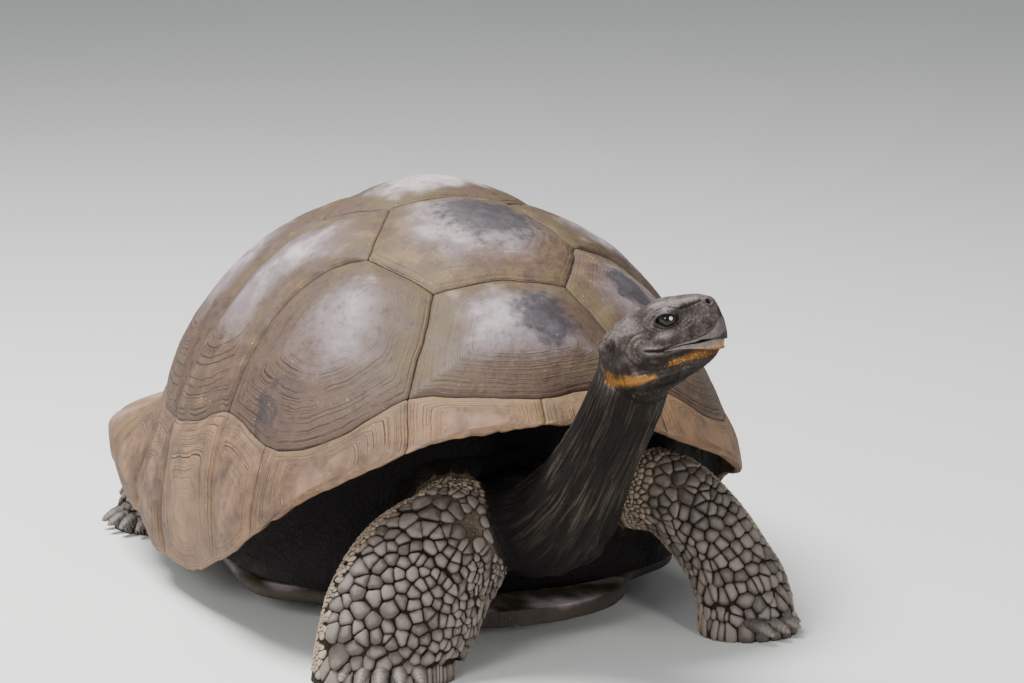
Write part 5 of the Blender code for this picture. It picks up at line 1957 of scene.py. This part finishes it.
HIND_RIGHT = ((-0.23, -0.205, 0.165, 0.08, 0.072), (-0.305, -0.275, 0.145, 0.085, 0.074),
              (-0.362, -0.328, 0.104, 0.074, 0.062), (-0.392, -0.358, 0.062, 0.066, 0.06),
              (-0.402, -0.37, 0.03, 0.067, 0.064), (-0.405, -0.373, -0.03, 0.067, 0.064))
HIND_LEFT = ((-0.23, 0.2, 0.165, 0.08, 0.072), (-0.295, 0.262, 0.145, 0.085, 0.074),
             (-0.342, 0.303, 0.104, 0.074, 0.062), (-0.364, 0.324, 0.062, 0.066, 0.06),
             (-0.37, 0.33, 0.03, 0.067, 0.064), (-0.372, 0.332, -0.03, 0.067, 0.064))
TAIL = ((-0.4, 0.0, 0.15, 0.05, 0.048), (-0.455, 0.004, 0.135, 0.042, 0.04),
        (-0.5, 0.016, 0.105, 0.03, 0.028), (-0.525, 0.032, 0.07, 0.017, 0.017),
        (-0.535, 0.046, 0.045, 0.008, 0.008))
HEART_HEIGHT = 0.177
HEART_BACK = 0.005
TAIL_SEED = 15


@dataclass(frozen=True)
class LegPlan:
    """What one leg is made from: its stations, its claws, and the scales that it carries."""

    name: str
    stations: Knots
    facing: Triple
    toes: Pair
    seed: int
    start: float
    large: float
    outer: float = 0.0
    claws: int = 5
    elbow: float = 1.0
    mesh: tuple[int, int] = (84, 92)

    def limb(self, slide: Array) -> Limb:
        """The leg in its place."""
        return Limb(self.name, self.stations, self.facing, slide, self.mesh, footed=True, elbow=self.elbow)


HIND = {"start": 0.4, "large": 9.5 * MM, "claws": 4, "elbow": 0.0, "mesh": (56, 64)}
LEGS = (
    LegPlan("foreleg_right", FORE_RIGHT, (0.95, -0.15, 0.25), (0.93, -0.36), 11, 0.27, 14 * MM),
    LegPlan("foreleg_left", FORE_LEFT, (0.85, -0.05, 0.5), (0.62, 0.78), 12, 0.25, 12.5 * MM, math.pi),
    LegPlan("hindleg_right", HIND_RIGHT, (0.5, -0.87, 0.1), (0.5, -0.87), 13, **HIND),
    LegPlan("hindleg_left", HIND_LEFT, (0.6, 0.8, 0.1), (0.6, 0.8), 14, outer=math.pi, **HIND))


def main() -> None:
    """Builds the tortoise and its studio, and logs the number of triangles in each piece."""
    logging.basicConfig(level=logging.INFO, format="%(message)s")
    low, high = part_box("plastron")
    middle = ((low.x + high.x) / 2 - HEART_BACK, (low.y + high.y) / 2)
    dome = Dome((*middle, HEART_HEIGHT))
    Shell(dome).build()
    Plastron(middle).build()
    slide = np.array([*middle, 0.0])
    skull = Skull(slide)
    neck = Neck("neck", NECK, (1, 0, 0.2), slide, (150, 230), (4.5 * MM, 110 * MM), shade=0.62)
    legs = [plan.limb(slide) for plan in LEGS]
    tail = Limb("tail", TAIL, (0, 0, 1), slide, (48, 56))
    Hide(skull, neck, legs, tail, dome).build()
    Beak(skull).build()
    for side in Side:
        Eye(skull, side).build()
    for plan, leg in zip(LEGS, legs):
        Scales(leg, plan.seed, plan.start, plan.outer, plan.large).build()
    Scales(tail, TAIL_SEED, 0.22, large=5.5 * MM, small=3.8 * MM, end=0.99).build()
    for plan, leg in zip(LEGS, legs):
        Foot(leg, plan.toes, plan.claws).build()
    Studio((*middle, 0.0)).build()
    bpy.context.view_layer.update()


if __name__ == "__main__":
    main()
